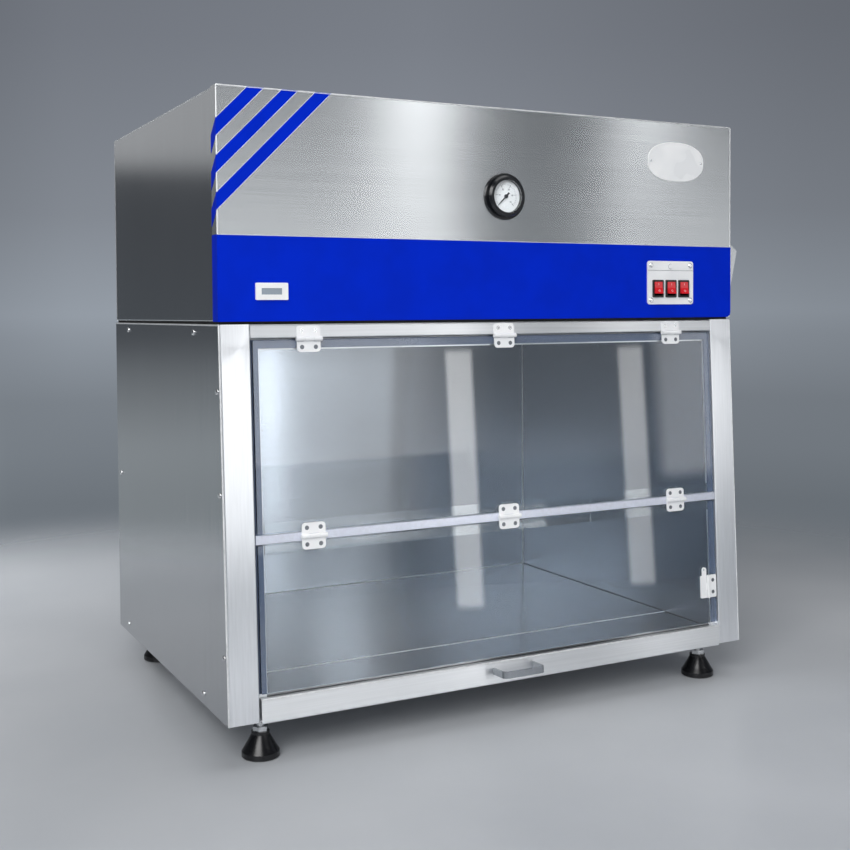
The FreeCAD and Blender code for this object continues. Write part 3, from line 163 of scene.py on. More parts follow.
def plated(name, colour, roughness):
    """Plated, anodised or polished metal: bright, nearly smooth, with a trace of unevenness."""
    material, tree, shader = new_material(name)
    cloud = object_grain(tree, (160.0, 160.0, 160.0), 3.0)
    full = linear(colour)
    uneven(tree, shader, cloud, [(0.3, shade(full, 0.9)), (0.6, full)], cloud, roughness * 0.8, roughness * 1.3)
    shader.inputs["Metallic"].default_value = 1.0
    return material


def clear_sheet(name, colour):
    """Clear acrylic: see-through and smooth, with nearly all light passing to what it covers."""
    material, tree, shader = new_material(name)
    shader.inputs["Base Color"].default_value = linear(colour)
    shader.inputs["Roughness"].default_value = 0.01
    shader.inputs["IOR"].default_value = 1.49
    shader.inputs["Transmission Weight"].default_value = 1.0
    through = add(tree, "ShaderNodeBsdfTransparent", {"Color": linear("EEF2F5")})
    show_instead(tree, shader, add(tree, "ShaderNodeLightPath").outputs["Is Shadow Ray"], through)
    return material


# ---------------------------------------------------------------- small builders
def finish_nodes(names, material):
    """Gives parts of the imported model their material."""
    for name in names:
        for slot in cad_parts[name].material_slots:
            slot.material = material


def carry(name, mesh, body):
    """Shows a finished mesh as a piece that rides on a body."""
    piece = bpy.data.objects.new(name, mesh)
    bpy.context.scene.collection.objects.link(piece)
    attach(piece, body)


def new_piece(name, shape, material, body, smooth=False):
    """Turns a bmesh into a piece that rides on a body."""
    bmesh.ops.recalc_face_normals(shape, faces=shape.faces)
    mesh = bpy.data.meshes.new(name)
    shape.to_mesh(mesh)
    shape.free()
    for face in mesh.polygons:
        face.use_smooth = smooth
    mesh.materials.append(material)
    carry(name, mesh, body)


def on_front(x, y, z):
    """Place on the front for a piece drawn in x and y, with its z towards the viewer."""
    return Matrix.Translation(Vector((x, y, z))) @ Matrix.Rotation(math.radians(90), 4, "X")


def oval_points(width, height, power, count):
    """Outline between an ellipse, at power 2, and a rounded rectangle, at more."""
    points = []
    for i in range(count):
        turn = 2 * math.pi * i / count
        c, s = math.cos(turn), math.sin(turn)
        points.append((width / 2 * math.copysign(abs(c) ** (2 / power), c),
                       height / 2 * math.copysign(abs(s) ** (2 / power), s)))
    return points


def stacked_outline(shape, rings, place):
    """Closed solid from rings of equal point counts, from the back to the front."""
    made = []
    for ring, level in rings:
        made.append([shape.verts.new(place @ Vector((u, v, level))) for u, v in ring])
    shape.faces.new(made[0])
    for lower, upper in zip(made, made[1:]):
        for i in range(len(lower)):
            j = (i + 1) % len(lower)
            shape.faces.new((lower[i], lower[j], upper[j], upper[i]))
    shape.faces.new(made[-1])


def surface_spot(node, x, z):
    """Place of a node's front surface at x and z, with the frame that faces outwards there."""
    hit, spot, normal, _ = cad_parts[node].ray_cast(Vector((x, -2.0, z)), Vector((0, 1, 0)))
    if not hit:
        raise RuntimeError(node + " has no surface at that place")
    side = Vector((1, 0, 0))
    side = (side - normal * side.dot(normal)).normalized()
    return Matrix.Translation(spot) @ Matrix((side, normal.cross(side), normal)).transposed().to_4x4()


def text_mesh(name, size, places, material, body):
    """One mesh of several short texts, each given as (text, matrix)."""
    joined = bmesh.new()
    for words, place in places:
        curve = bpy.data.curves.new(name + "_text", "FONT")
        curve.body = words
        curve.size = size
        curve.align_x = "CENTER"
        curve.align_y = "CENTER"
        curve.extrude = PRINT_DEPTH
        curve.resolution_u = 3
        holder = bpy.data.objects.new(name + "_maker", curve)
        bpy.context.scene.collection.objects.link(holder)
        graph = bpy.context.evaluated_depsgraph_get()
        mesh = bpy.data.meshes.new_from_object(holder.evaluated_get(graph))
        mesh.transform(place)
        joined.from_mesh(mesh)
        bpy.data.objects.remove(holder)
        bpy.data.meshes.remove(mesh)
    new_piece(name, joined, material, body)


# ---------------------------------------------------------------- node trees for what repeats
def new_tree(name, inputs, takes_mesh):
    """Empty Geometry Nodes tree with named inputs; returns it and its input sockets."""
    tree = bpy.data.node_groups.new(name, "GeometryNodeTree")
    face = tree.interface
    if takes_mesh:
        face.new_socket("Geometry", in_out="INPUT", socket_type="NodeSocketGeometry")
    for label, kind, value in inputs:
        face.new_socket(label, in_out="INPUT", socket_type="NodeSocket" + kind).default_value = value
    face.new_socket("Finish", in_out="INPUT", socket_type="NodeSocketMaterial")
    face.new_socket("Geometry", in_out="OUTPUT", socket_type="NodeSocketGeometry")
    return tree, add(tree, "NodeGroupInput").outputs


def end_tree(tree, given, geometry):
    """Makes real meshes of what the tree has placed, and gives them their material."""
    solid = add(tree, "GeometryNodeRealizeInstances", None, {"Geometry": geometry})
    finished = add(tree, "GeometryNodeSetMaterial", None, {"Geometry": solid.outputs["Geometry"],
                                                           "Material": given["Finish"]})
    add(tree, "NodeGroupOutput", None, {"Geometry": finished.outputs["Geometry"]})
    return tree


def tick_tree():
    """Geometry Nodes: bars set out evenly round an arc, pointing to its centre."""
    tree, given = new_tree("dial_ticks", (
        ("Count", "Int", 11), ("Radius", "Float", 0.0175), ("Length", "Float", 0.003), ("Width", "Float", 0.0004),
        ("Sweep", "Float", math.radians(SCALE_SWEEP)), ("Level", "Float", 0.0)), False)
    points = add(tree, "GeometryNodeMeshLine", {"Offset": (0, 0, 0)}, {"Count": given["Count"]})
    index = add(tree, "GeometryNodeInputIndex")
    last = add(tree, "ShaderNodeMath", {1: 1.0}, {0: given["Count"]}, operation="SUBTRACT")
    part = add(tree, "ShaderNodeMath", None, {0: index.outputs[0], 1: last.outputs[0]}, operation="DIVIDE")
    centred = add(tree, "ShaderNodeMath", {1: 0.5}, {0: part.outputs[0]}, operation="SUBTRACT")
    turn = add(tree, "ShaderNodeMath", None, {0: centred.outputs[0], 1: given["Sweep"]}, operation="MULTIPLY")
    sine = add(tree, "ShaderNodeMath", None, {0: turn.outputs[0]}, operation="SINE")
    cosine = add(tree, "ShaderNodeMath", None, {0: turn.outputs[0]}, operation="COSINE")
    across = add(tree, "ShaderNodeMath", None, {0: sine.outputs[0], 1: given["Radius"]}, operation="MULTIPLY")
    up = add(tree, "ShaderNodeMath", None, {0: cosine.outputs[0], 1: given["Radius"]}, operation="MULTIPLY")
    spot = add(tree, "ShaderNodeCombineXYZ", None, {"X": across.outputs[0], "Y": up.outputs[0],
                                                    "Z": given["Level"]})
    placed = add(tree, "GeometryNodeSetPosition", None, {"Geometry": points.outputs["Mesh"],
                                                         "Position": spot.outputs[0]})
    size = add(tree, "ShaderNodeCombineXYZ", {"Z": 2 * PRINT_DEPTH}, {"X": given["Width"],
                                                                      "Y": given["Length"]})
    bar = add(tree, "GeometryNodeMeshCube", None, {"Size": size.outputs[0]})
    back = add(tree, "ShaderNodeMath", {1: -1.0}, {0: turn.outputs[0]}, operation="MULTIPLY")
    angle = add(tree, "ShaderNodeCombineXYZ", None, {"Z": back.outputs[0]})
    copies = add(tree, "GeometryNodeInstanceOnPoints", None, {
        "Points": placed.outputs["Geometry"], "Instance": bar.outputs["Mesh"], "Rotation": angle.outputs[0]})
    return end_tree(tree, given, copies.outputs["Instances"])


def bead_tree():
    """Geometry Nodes: a round bead along every edge of the mesh it is given."""
    tree, given = new_tree("edge_bead", (("Radius", "Float", 0.0012), ("Sides", "Int", 10)), True)
    path = add(tree, "GeometryNodeMeshToCurve", None, {"Mesh": given["Geometry"]})
    ring = add(tree, "GeometryNodeCurvePrimitiveCircle", None, {"Resolution": given["Sides"],
                                                                "Radius": given["Radius"]})
    bead = add(tree, "GeometryNodeCurveToMesh", {"Fill Caps": True}, {"Curve": path.outputs["Curve"],
                                                                      "Profile Curve": ring.outputs["Curve"]})
    return end_tree(tree, given, bead.outputs["Mesh"])


def from_tree(name, tree, inputs, finish, body, lines=(), place=None):
    """Runs a node tree on some lines, makes a plain mesh of it and lets that ride on a body."""
    source = bpy.data.meshes.new(name + "_maker")
    ends = [point for line in lines for point in line]
    source.from_pydata(ends, [(i, i + 1) for i in range(0, len(ends), 2)], [])
    holder = bpy.data.objects.new(name + "_maker", source)
    bpy.context.scene.collection.objects.link(holder)
    modifier = holder.modifiers.new("maker", "NODES")
    modifier.node_group = tree
    identifiers = {item.name: item.identifier for item in tree.interface.items_tree if item.in_out == "INPUT"}
    for key, value in (*inputs.items(), ("Finish", finish)):
        modifier[identifiers[key]] = value
    graph = bpy.context.evaluated_depsgraph_get()
    mesh = bpy.data.meshes.new_from_object(holder.evaluated_get(graph))
    bpy.data.objects.remove(holder)
    mesh.name = name
    if place is not None:
        mesh.transform(place)
    if not mesh.vertices:
        raise RuntimeError(name + " came out empty")
    mesh.materials.clear()
    mesh.materials.append(finish)
    carry(name, mesh, body)


# ---------------------------------------------------------------- settings
class CabinetColours(bpy.types.PropertyGroup):
    """Colours that differ from one cabinet of this kind to the next"""
    film: FloatVectorProperty(name="Film blue", description="Colour of the band and stripes", subtype="COLOR",
                              size=4, min=0.0, max=1.0, default=linear("0029C8"))
    badge: FloatVectorProperty(name="Badge plate", description="Colour of the blank oval plate", subtype="COLOR",
                               size=4, min=0.0, max=1.0, default=linear("FAFBFC"))


class CabinetSizes(bpy.types.PropertyGroup):
    """Sizes of the thin trim"""
    badge_width: FloatProperty(name="Badge width", description="Width of the oval plate", unit="LENGTH",
                               default=0.117)
    badge_height: FloatProperty(name="Badge height", description="Height of the oval plate", unit="LENGTH",
                                default=0.065)
    bead_radius: FloatProperty(name="Edge radius", description="Radius of a folded edge's bead", unit="LENGTH",
                               default=0.0014)
    bead_inset: FloatProperty(name="Edge inset", description="Depth of that radius's centre under the faces",
                              unit="LENGTH", default=0.001)
    film_edge: FloatProperty(name="Film edge", description="Half the width of a film's pale cut edge",
                             unit="LENGTH", default=0.0005)
    tick_ring: FloatProperty(name="Tick ring", description="Radius of the dial's scale", unit="LENGTH",
                             default=0.0175)


class StudioSettings(bpy.types.PropertyGroup):
    """Lens and floor of the studio"""
    lens: FloatProperty(name="Lens", description="Focal length in mm on a 36 mm frame", unit="CAMERA",
                        default=50.57)
    floor_radius: FloatProperty(name="Floor radius", description="Radius of the plain floor", unit="LENGTH",
                                default=9.0)


# ---------------------------------------------------------------- finishes
class CABINET_OT_steel(bpy.types.Operator):
    """Gives every stainless sheet its ground satin finish"""
    bl_idname = "cabinet.steel"
    bl_label = "Stainless sheets"

    def execute(self, context):
        # 304 sheet ground with a 240-grit belt, so a satin sheen with fine lines in it everywhere.
        # Ground from side to side: the front's reflections stand up as soft pale and dark columns
        finish_nodes(["upper_fascia"],
                     satin_stainless("ground_stainless_fascia", "CCCFD1", "X", 0.25, "Z", 0.25))
        # ground upright: large faces stay calm, with a slow change of tone
        finish_nodes(["upper_shell", "upper_back_panel", "prefilter_grille", "side_hood"],
                     satin_stainless("ground_stainless_housing", "C4C7CA", "Z", 0.24))
        # wide-scattering, and far paler than the other stainless sheets: a painted sheen, so that the posts stand
        # out pale beside the dark chamber
        finish_nodes(["front_post_left", "front_post_right"],
                     satin_stainless("stainless_posts_painted_sheen", "F2F4F7", "Z", 0.32, drawn=0.7))
        # the same paler sheet with its painted sheen, ground along the rails: one long even gleam
        finish_nodes(["top_rail", "spill_tray"],
                     satin_stainless("stainless_rails_painted_sheen", "ECEEF0", "X", 0.34, "Z", 0.25, 0.8))
        # the sides: a broad cool sheen that fades towards the floor
        finish_nodes(["side_panel_left", "side_panel_right", "base_frame"],
                     satin_stainless("ground_stainless_sides", "C4C6C9", "Z", 0.24))
        # ground level on all three walls: windows and lamps mirror in them as tall faint ghosts
        finish_nodes(["chamber_liner"],
                     satin_stainless("ground_stainless_walls", "B5BCC5", "XY", 0.21, "Z", 0.25))
        # the smoothest sheet: the worktop mirrors the walls, drawn out along its grind
        finish_nodes(["work_surface_front", "work_surface_rear"],
                     satin_stainless("ground_stainless_worktop", "A2A4A6", "X", 0.14, "X"))
        # bent bar, buffed: greyer than the sheet behind it, with clear edges
        finish_nodes(["tray_handle"], plated("polished_stainless_handle", "A6AAAF", 0.2))
        # galvanised sheet inside: dull and bluish grey
        finish_nodes(["blower_deck", "blower_scroll"], satin_stainless("zinc_sheet", "AEB3B7", "X", 0.42))
        return {"FINISHED"}


class CABINET_OT_small_parts(bpy.types.Operator):
    """Gives films, seals, switches, feet and inner parts their finishes"""
    bl_idname = "cabinet.small_parts"
    bl_label = "Films, seals and small parts"

    def execute(self, context):
        # matt calendered vinyl: a deep flat blue that hardly mirrors anything
        film = moulded("blue_vinyl_film", context.scene.cabinet_colours.film, 0.5, 0.00001)
        film.node_tree.nodes["Principled BSDF"].inputs["Specular IOR Level"].default_value = 0.04
        finish_nodes(["blue_films"], film)
        # moulded ABS: soft white with a low gloss
        finish_nodes(["hour_meter"], moulded("white_abs_bezel", "FAFBFC", 0.32))
        finish_nodes(["switch_plate"], moulded("white_abs_plate", "F8F9FB", 0.3))
        # moulded black ABS: a dark frame with a faint rim of light
        finish_nodes(["rocker_frames"], moulded("black_abs_frame", "101113", 0.38))
        # glossy clear-red polycarbonate: a strong red with small sharp lights
        finish_nodes(["rocker_left", "rocker_middle", "rocker_right"],
                     moulded("red_polycarbonate_rocker", "E0252F", 0.18, 0.00001, 1.58))
        # glossy black ABS: the gauge's ring shows a curved highlight
        finish_nodes(["gauge_case"], moulded("black_abs_gauge_case", "15171B", 0.22))
        # baked enamel: a flat white ground and a dull black needle
        finish_nodes(["gauge_dial"], moulded("white_enamel_dial", "F7F8F8", 0.5))
        finish_nodes(["gauge_pointer"], moulded("black_enamel_pointer", "2A2C30", 0.45))
        # clear acrylic window: only its reflections tell that it is there
        finish_nodes(["gauge_glass"], clear_sheet("clear_gauge_window", "FFFFFF"))
        # moulded nylon: plain black, slightly dull
        finish_nodes(["mains_inlet"], moulded("black_nylon_inlet", "141517", 0.45))
        # nickel plate: bright dots on the sheet, and duller ones on the hinges
        finish_nodes(["cabinet_screws"], plated("bright_nickel_screws", "E6E7E8", 0.2))
        finish_nodes(["upper_sash_screws", "lower_sash_screws"], plated("dull_nickel_screws", "7E8288", 0.3))
        # powder-coated steel: smooth white leaves with soft edges
        finish_nodes(["top_hinges", "upper_sash_hinges", "lower_sash_hinges", "latch_plate", "latch_flap"],
                     moulded("white_coated_hinges", "F9FAFC", 0.34))
        # extruded rubber: a black line with no gloss
        finish_nodes(["seam_gasket"], moulded("black_rubber_strip", "0B0B0C", 0.7))
        # extruded silicone: grey-blue and a little waxy
        finish_nodes(["stop_gasket"], moulded("grey_blue_silicone_seal", "46536A", 0.35))
        # anodised aluminium: a cold pale bar with a wide soft light
        finish_nodes(["mid_rail"], plated("anodised_aluminium_bar", "E8ECF8", 0.45))
        # enamelled sheet, coated glass and urea in the upper unit: whites of three different glosses
        finish_nodes(["diffuser_grille"], moulded("white_enamel_diffuser", "E9EAEB", 0.4))
        finish_nodes(["lamp_tubes"], moulded("phosphor_coated_glass", "F3F5F8", 0.2))
        finish_nodes(["lamp_holders"], moulded("white_urea_holders", "ECECE8", 0.4))
        # fibre pad: no gloss, and lumps of 4 mm
        finish_nodes(["prefilter_pad"], moulded("white_fibre_pad", "D9DCDC", 0.9, 0.0006, 1.5, 260.0))
        # glass paper: dry, warm white and finely rough
        finish_nodes(["filter_pack"], moulded("pleated_glass_paper", "ECECE6", 0.85, 0.0002))
        # sprayed enamel on the motor: a dark half gloss
        finish_nodes(["blower_motor"], moulded("dark_grey_motor_enamel", "2C2F34", 0.4))
        # bare rolled aluminium: a grey wheel with blurred lights
        finish_nodes(["blower_impeller"], plated("plain_aluminium_wheel", "C6C9CC", 0.35))
        # moulded nylon feet on bright zinc-plated studs
        corners = ["front_left", "front_right", "rear_left", "rear_right"]
        finish_nodes(["foot_" + c for c in corners], moulded("black_nylon_foot", "131417", 0.3))
        finish_nodes(["foot_stud_" + c for c in corners], plated("bright_zinc_stud", "D4D6D8", 0.22))
        return {"FINISHED"}


class CABINET_OT_clear_front(bpy.types.Operator):
    """Makes the folding front clear"""
    bl_idname = "cabinet.clear_front"
    bl_label = "Clear front"

    def execute(self, context):
        # cast acrylic: nearly unseen face on, with pale reflections and cut edges
        finish_nodes(["upper_pane", "lower_pane"], clear_sheet("clear_acrylic_pane", "FCFEFF"))
        finish_nodes(["closing_strip"], clear_sheet("clear_acrylic_strip", "F8FBFD"))
        return {"FINISHED"}


# ---------------------------------------------------------------- edges and joints
BAND_HEIGHT = 0.12          # of the blue band, from the fascia's lower edge
STRIPE_COUNT = 3            # slanting stripes in the fascia's upper left corner
STRIPE_NEAR = 0.0455        # upper edge of the first stripe, down the fascia's left edge
STRIPE_FAR = 0.0705         # its lower edge
STRIPE_PITCH = 0.0507
FASCIA_FOLD = 0.022         # depth of the fascia's folded side
POST_GAP = 0.001            # between the bead on the post and the one along the side's top


class CABINET_OT_bright_edges(bpy.types.Operator):
    """Runs a bead of near-white metal along the folded edges that catch the light: a painted highlight on each
    rounded fold
    """
    bl_idname = "cabinet.bright_edges"
    bl_label = "Painted highlights on folded edges"

    def execute(self, context):
        sizes = context.scene.cabinet_sizes
        i = sizes.bead_inset
        bead = {"Radius": sizes.bead_radius}
        tree = bead_tree()
        # a rounded fold in a metal far paler than the sheet: a painted highlight, a thin white line round each
        # sheet
        finish = plated("stainless_fold_painted_highlight", "FAFBFC", 0.6)
        (x0, y0, z0), (x1, _, z1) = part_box("upper_fascia")
        (sx, _, _), (_, sy, sz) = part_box("upper_shell")
        film_top = z0 + BAND_HEIGHT
        upper = [((x0 + i, y0 + i, z1 - i), (x1 - i, y0 + i, z1 - i)),
                 ((x1 - i, y0 + i, film_top), (x1 - i, y0 + i, z1 - i)),
                 ((sx + i, y0 + FASCIA_FOLD, sz - i), (sx + i, sy - i, sz - i)),
                 ((sx + i, sy - i, z0), (sx + i, sy - i, sz - i))]
        # the left edge shows only between the films that fold round it
        stripes = [(STRIPE_NEAR + STRIPE_PITCH * n, STRIPE_FAR + STRIPE_PITCH * n) for n in range(STRIPE_COUNT)]
        ends = [z1 - i]
        for near, far in stripes:
            ends += [z1 - near, z1 - far]
        ends.append(film_top)
        upper += [((x0 + i, y0 + i, low), (x0 + i, y0 + i, high)) for high, low in zip(ends[::2], ends[1::2])]
        from_tree("upper_bright_edges", tree, bead, finish, "cabinet", upper)
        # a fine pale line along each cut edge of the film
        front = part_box("blue_films")[0][1]
        cuts = [((x0, front, film_top), (x1, front, film_top))]
        for near, far in stripes:
            for drop in (near, far):
                cuts.append(((x0, front, z1 - drop), (x0 + drop, front, z1)))
        from_tree("film_cut_edges", tree, {"Radius": sizes.film_edge, "Sides": 6},
                  moulded("pale_film_edge", "DDE0EA", 0.5), "cabinet", cuts)
        (px, _, pz), (_, back, top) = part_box("side_panel_left")
        (_, foot, _), (right, _, _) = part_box("front_post_right")
        # the same painted highlight along the side's top edge and the posts' outer edges
        lower = [((px + i, y0 + POST_GAP + i, top - i), (px + i, back - i, top - i)),
                 ((px + i, y0 + i, top - i), (px + i, foot + i, pz)),
                 ((right - i, y0 + i, top - i), (right - i, foot + i, pz))]
        from_tree("lower_bright_edges", tree, bead, finish, "cabinet", lower)
        # the same painted highlight along the tray's top front edge
        (tx, ty, _), (rx, _, tz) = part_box("spill_tray")
        from_tree("tray_bright_edge", tree, bead, finish, "tray",
                  [((tx + i, ty + i, tz - i), (rx - i, ty + i, tz - i))])
        return {"FINISHED"}


WELD_RADIUS = 0.0008
SEAL_RADIUS = 0.0009
JOINT_INSET = 0.0004        # from a wall's face to the middle of its joint
SEAL_START = 0.01           # from the worktop's front edge to the seal's end


class CABINET_OT_chamber_joints(bpy.types.Operator):
    """Draws the ground welds, in a near-white metal that paints their highlight, and the dark seal line round the
    chamber's floor
    """
    bl_idname = "cabinet.chamber_joints"
    bl_label = "Chamber joints"

    def execute(self, context):
        (x0, y0, _), (x1, y1, top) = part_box("work_surface_rear")
        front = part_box("work_surface_front")[0][1]
        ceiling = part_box("chamber_liner")[1][2] - JOINT_INSET
        left, right, back = x0 + JOINT_INSET, x1 - JOINT_INSET, y1 - JOINT_INSET
        middle = y0 - JOINT_INSET
        tree = bead_tree()
        # the ground weld of two sheets, in a metal far paler than the walls: a painted highlight, a thin shining
        # line in each corner
        welds = [((left, back, top), (right, back, top)), ((right, back, top), (right, back, ceiling)),
                 ((left, back, top), (left, back, ceiling)), ((left, middle, top), (right, middle, top))]
        from_tree("chamber_welds", tree, {"Radius": WELD_RADIUS, "Sides": 8},
                  plated("weld_line_painted_highlight", "F4F5F6", 0.5), "cabinet", welds)
        # silicone from a gun: a dull dark line that parts the floor from the side walls
        seals = [((x, front + SEAL_START, top), (x, back, top)) for x in (left, right)]
        from_tree("chamber_seal_lines", tree, {"Radius": SEAL_RADIUS, "Sides": 8},
                  moulded("dark_silicone_line", "17181B", 0.5), "cabinet", seals)
        return {"FINISHED"}


# ---------------------------------------------------------------- plates, print and marks
BADGE_X, BADGE_Z = 0.3268, 0.8775
BADGE_POWER = 2.35          # a little squarer than an ellipse
BADGE_RINGS = ((0, 0), (0, 0.0009), (0.0005, 0.0013), (0.0022, 0.0013), (0.0027, 0.0010))   # inset, level
RIVET_RINGS = ((0.0019, 0), (0.0019, 0.0003), (0.0015, 0.0008), (0.0008, 0.0011))           # radius, level
RIVET_INSET = 0.006         # from the plate's end to the rivet's middle
PLATE_FACE = 0.001          # the sunk face that carries the rivets


class CABINET_OT_badge(bpy.types.Operator):
    """Adds the blank oval plate with a rivet at each end"""
    bl_idname = "cabinet.badge"
    bl_label = "Blank oval plate"

    def execute(self, context):
        sizes = context.scene.cabinet_sizes
        place = on_front(BADGE_X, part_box("upper_fascia")[0][1], BADGE_Z)
        width, height = sizes.badge_width, sizes.badge_height
        plate = bmesh.new()
        rings = [(oval_points(width - 2 * inset, height - 2 * inset, BADGE_POWER, 96), level)
                 for inset, level in BADGE_RINGS]
        stacked_outline(plate, rings, place)
        # stove enamel on a pressed plate: clean white with a soft rim
        new_piece("badge_plate", plate, moulded("white_enamel_plate", context.scene.cabinet_colours.badge, 0.3),
                  "cabinet")
        rivets = bmesh.new()
        dome = [(oval_points(2 * radius, 2 * radius, 2.0, 24), level) for radius, level in RIVET_RINGS]
        for side in (-1, 1):
            spot = Matrix.Translation(Vector((side * (width / 2 - RIVET_INSET), 0, PLATE_FACE)))
            stacked_outline(rivets, dome, place @ spot)
        # aluminium rivets: two small domes, each with one light
        new_piece("badge_rivets", rivets, plated("bright_aluminium_rivets", "DDE0E2", 0.25), "cabinet",
                  True)
        return {"FINISHED"}


PRINT_DEPTH = 0.0001        # half the thickness of printed marks
PRINT_LEVEL = 0.00011       # their middle, above the face that they are printed on
SCALE_SWEEP = 270           # degrees from the scale's first number to its last
SCALE_NUMBERS = 6           # 0 to 50, by tens
SHORT_TICKS = 31
NUMBER_RING = 0.0118        # radius on which the numbers stand
NUMBER_SIZE = 0.0036


class CABINET_OT_gauge_face(bpy.types.Operator):
    """Prints the scale of the pressure gauge"""
    bl_idname = "cabinet.gauge_face"
    bl_label = "Gauge scale"

    def execute(self, context):
        low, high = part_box("gauge_dial")
        place = on_front((low[0] + high[0]) / 2, low[1], (low[2] + high[2]) / 2)
        # screen printing: thin dark grey marks, matt beside the enamel
        ink = moulded("grey_printing_ink", "3A3F46", 0.6)
        ring = context.scene.cabinet_sizes.tick_ring
        tree = tick_tree()
        for name, count, radius, length, width in (
                ("dial_long_ticks", SCALE_NUMBERS, ring, 0.005, 0.0006),
                ("dial_short_ticks", SHORT_TICKS, ring + 0.001, 0.0022, 0.0003)):
            from_tree(name, tree, {"Count": count, "Radius": radius, "Length": length, "Width": width,
                                   "Level": PRINT_LEVEL}, ink, "cabinet", place=place)
        numbers = []
        for i in range(SCALE_NUMBERS):
            turn = math.radians(-SCALE_SWEEP / 2 + SCALE_SWEEP / (SCALE_NUMBERS - 1) * i)
            spot = Vector((math.sin(turn) * NUMBER_RING, math.cos(turn) * NUMBER_RING, PRINT_LEVEL))
            numbers.append((str(10 * i), place @ Matrix.Translation(spot)))
        text_mesh("dial_numbers", NUMBER_SIZE, numbers, ink, "cabinet")
        return {"FINISHED"}


DISPLAY_WIDTH, DISPLAY_HEIGHT, DISPLAY_THICKNESS = 0.0309, 0.0089, 0.0002
DISPLAY_SHIFT = -0.0005     # its middle, from the bezel's middle
DISPLAY_DEPTH = 0.0012      # its back, behind the bezel's front


class CABINET_OT_meter_face(bpy.types.Operator):
    """Sets the display into the hour meter's window"""
    bl_idname = "cabinet.meter_face"
    bl_label = "Hour meter display"

    def execute(self, context):
        low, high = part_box("hour_meter")
        x, z = (low[0] + high[0]) / 2 + DISPLAY_SHIFT, (low[2] + high[2]) / 2
        place = on_front(x, low[1] + DISPLAY_DEPTH, z)
        w, h = DISPLAY_WIDTH / 2, DISPLAY_HEIGHT / 2
        ring = [(-w, -h), (w, -h), (w, h), (-w, h)]
        shape = bmesh.new()
        stacked_outline(shape, [(ring, 0.0), (ring, DISPLAY_THICKNESS)], place)
        # a liquid crystal at rest: an even grey-blue pane with some gloss
        new_piece("meter_display", shape, moulded("grey_liquid_crystal", "8E9BA6", 0.2), "cabinet")
        return {"FINISHED"}


MARK_SIZE = 0.0052
MARK_UP, MARK_DOWN = 0.0058, -0.0052    # the I and the O, from the rocker's middle
RING_RADIUS, RING_DROP = 0.0043, 0.009  # the lamp's ring, from the switch plate's top
RING_STEPS = 24
GROOVE_DROP = 0.0155        # the groove under it, from the same top
GROOVE_INSET = 0.001        # from the plate's sides
LINE_RADIUS, LINE_DEPTH = 0.00032, 0.0012   # the shaded lines, behind the plate's foremost point


class CABINET_OT_switch_marks(bpy.types.Operator):
    """Adds the I and O marks of the rockers, and the lamp ring's and groove's shaded lines"""
    bl_idname = "cabinet.switch_marks"
    bl_label = "Switch marks"

    def execute(self, context):
        # pad printing: fine marks in a slightly pink white
        ink = moulded("white_printing_ink", "F4E4E4", 0.4)
        for node, body in (("rocker_left", "rocker_a"), ("rocker_middle", "rocker_b"),
                           ("rocker_right", "rocker_c")):
            (x0, _, z0), (x1, _, z1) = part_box(node)
            x, z = (x0 + x1) / 2, (z0 + z1) / 2
            marks = [("I", surface_spot(node, x, z + MARK_UP)), ("O", surface_spot(node, x, z + MARK_DOWN))]
            text_mesh(node + "_marks", MARK_SIZE, marks, ink, body)
        (x0, y0, _), (x1, _, z1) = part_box("switch_plate")
        x, y = (x0 + x1) / 2, y0 + LINE_DEPTH
        turns = [math.radians(360 / RING_STEPS * n) for n in range(RING_STEPS + 1)]
        ring = [(x + RING_RADIUS * math.cos(t), y, z1 - RING_DROP + RING_RADIUS * math.sin(t)) for t in turns]
        lines = list(zip(ring, ring[1:]))
        level = z1 - GROOVE_DROP
        lines.append(((x0 + GROOVE_INSET, y, level), (x1 - GROOVE_INSET, y, level)))
        # the shade in a moulded joint: a soft grey line on the white
        from_tree("switch_plate_lines", bead_tree(), {"Radius": LINE_RADIUS, "Sides": 6},
                  moulded("grey_joint_shade", "8E9298", 0.6), "cabinet", lines)
        return {"FINISHED"}


# ---------------------------------------------------------------- studio
CAMERA_PLACE = (-0.9747, -1.8561, 0.6290)
CAMERA_YAW, CAMERA_PITCH, CAMERA_ROLL = 27.53, 1.81, -0.38  # degrees to the right, down and over
CAMERA_SHIFT = -0.088
FLOOR_FADE = (0.9, 2.1)     # the floor fades into the backdrop between these distances
BACKDROP_TURN = 27.5        # degrees, so that the backdrop's middle is behind the cabinet
MIDDLE = (0.0, 0.0, 0.5)    # of the cabinet

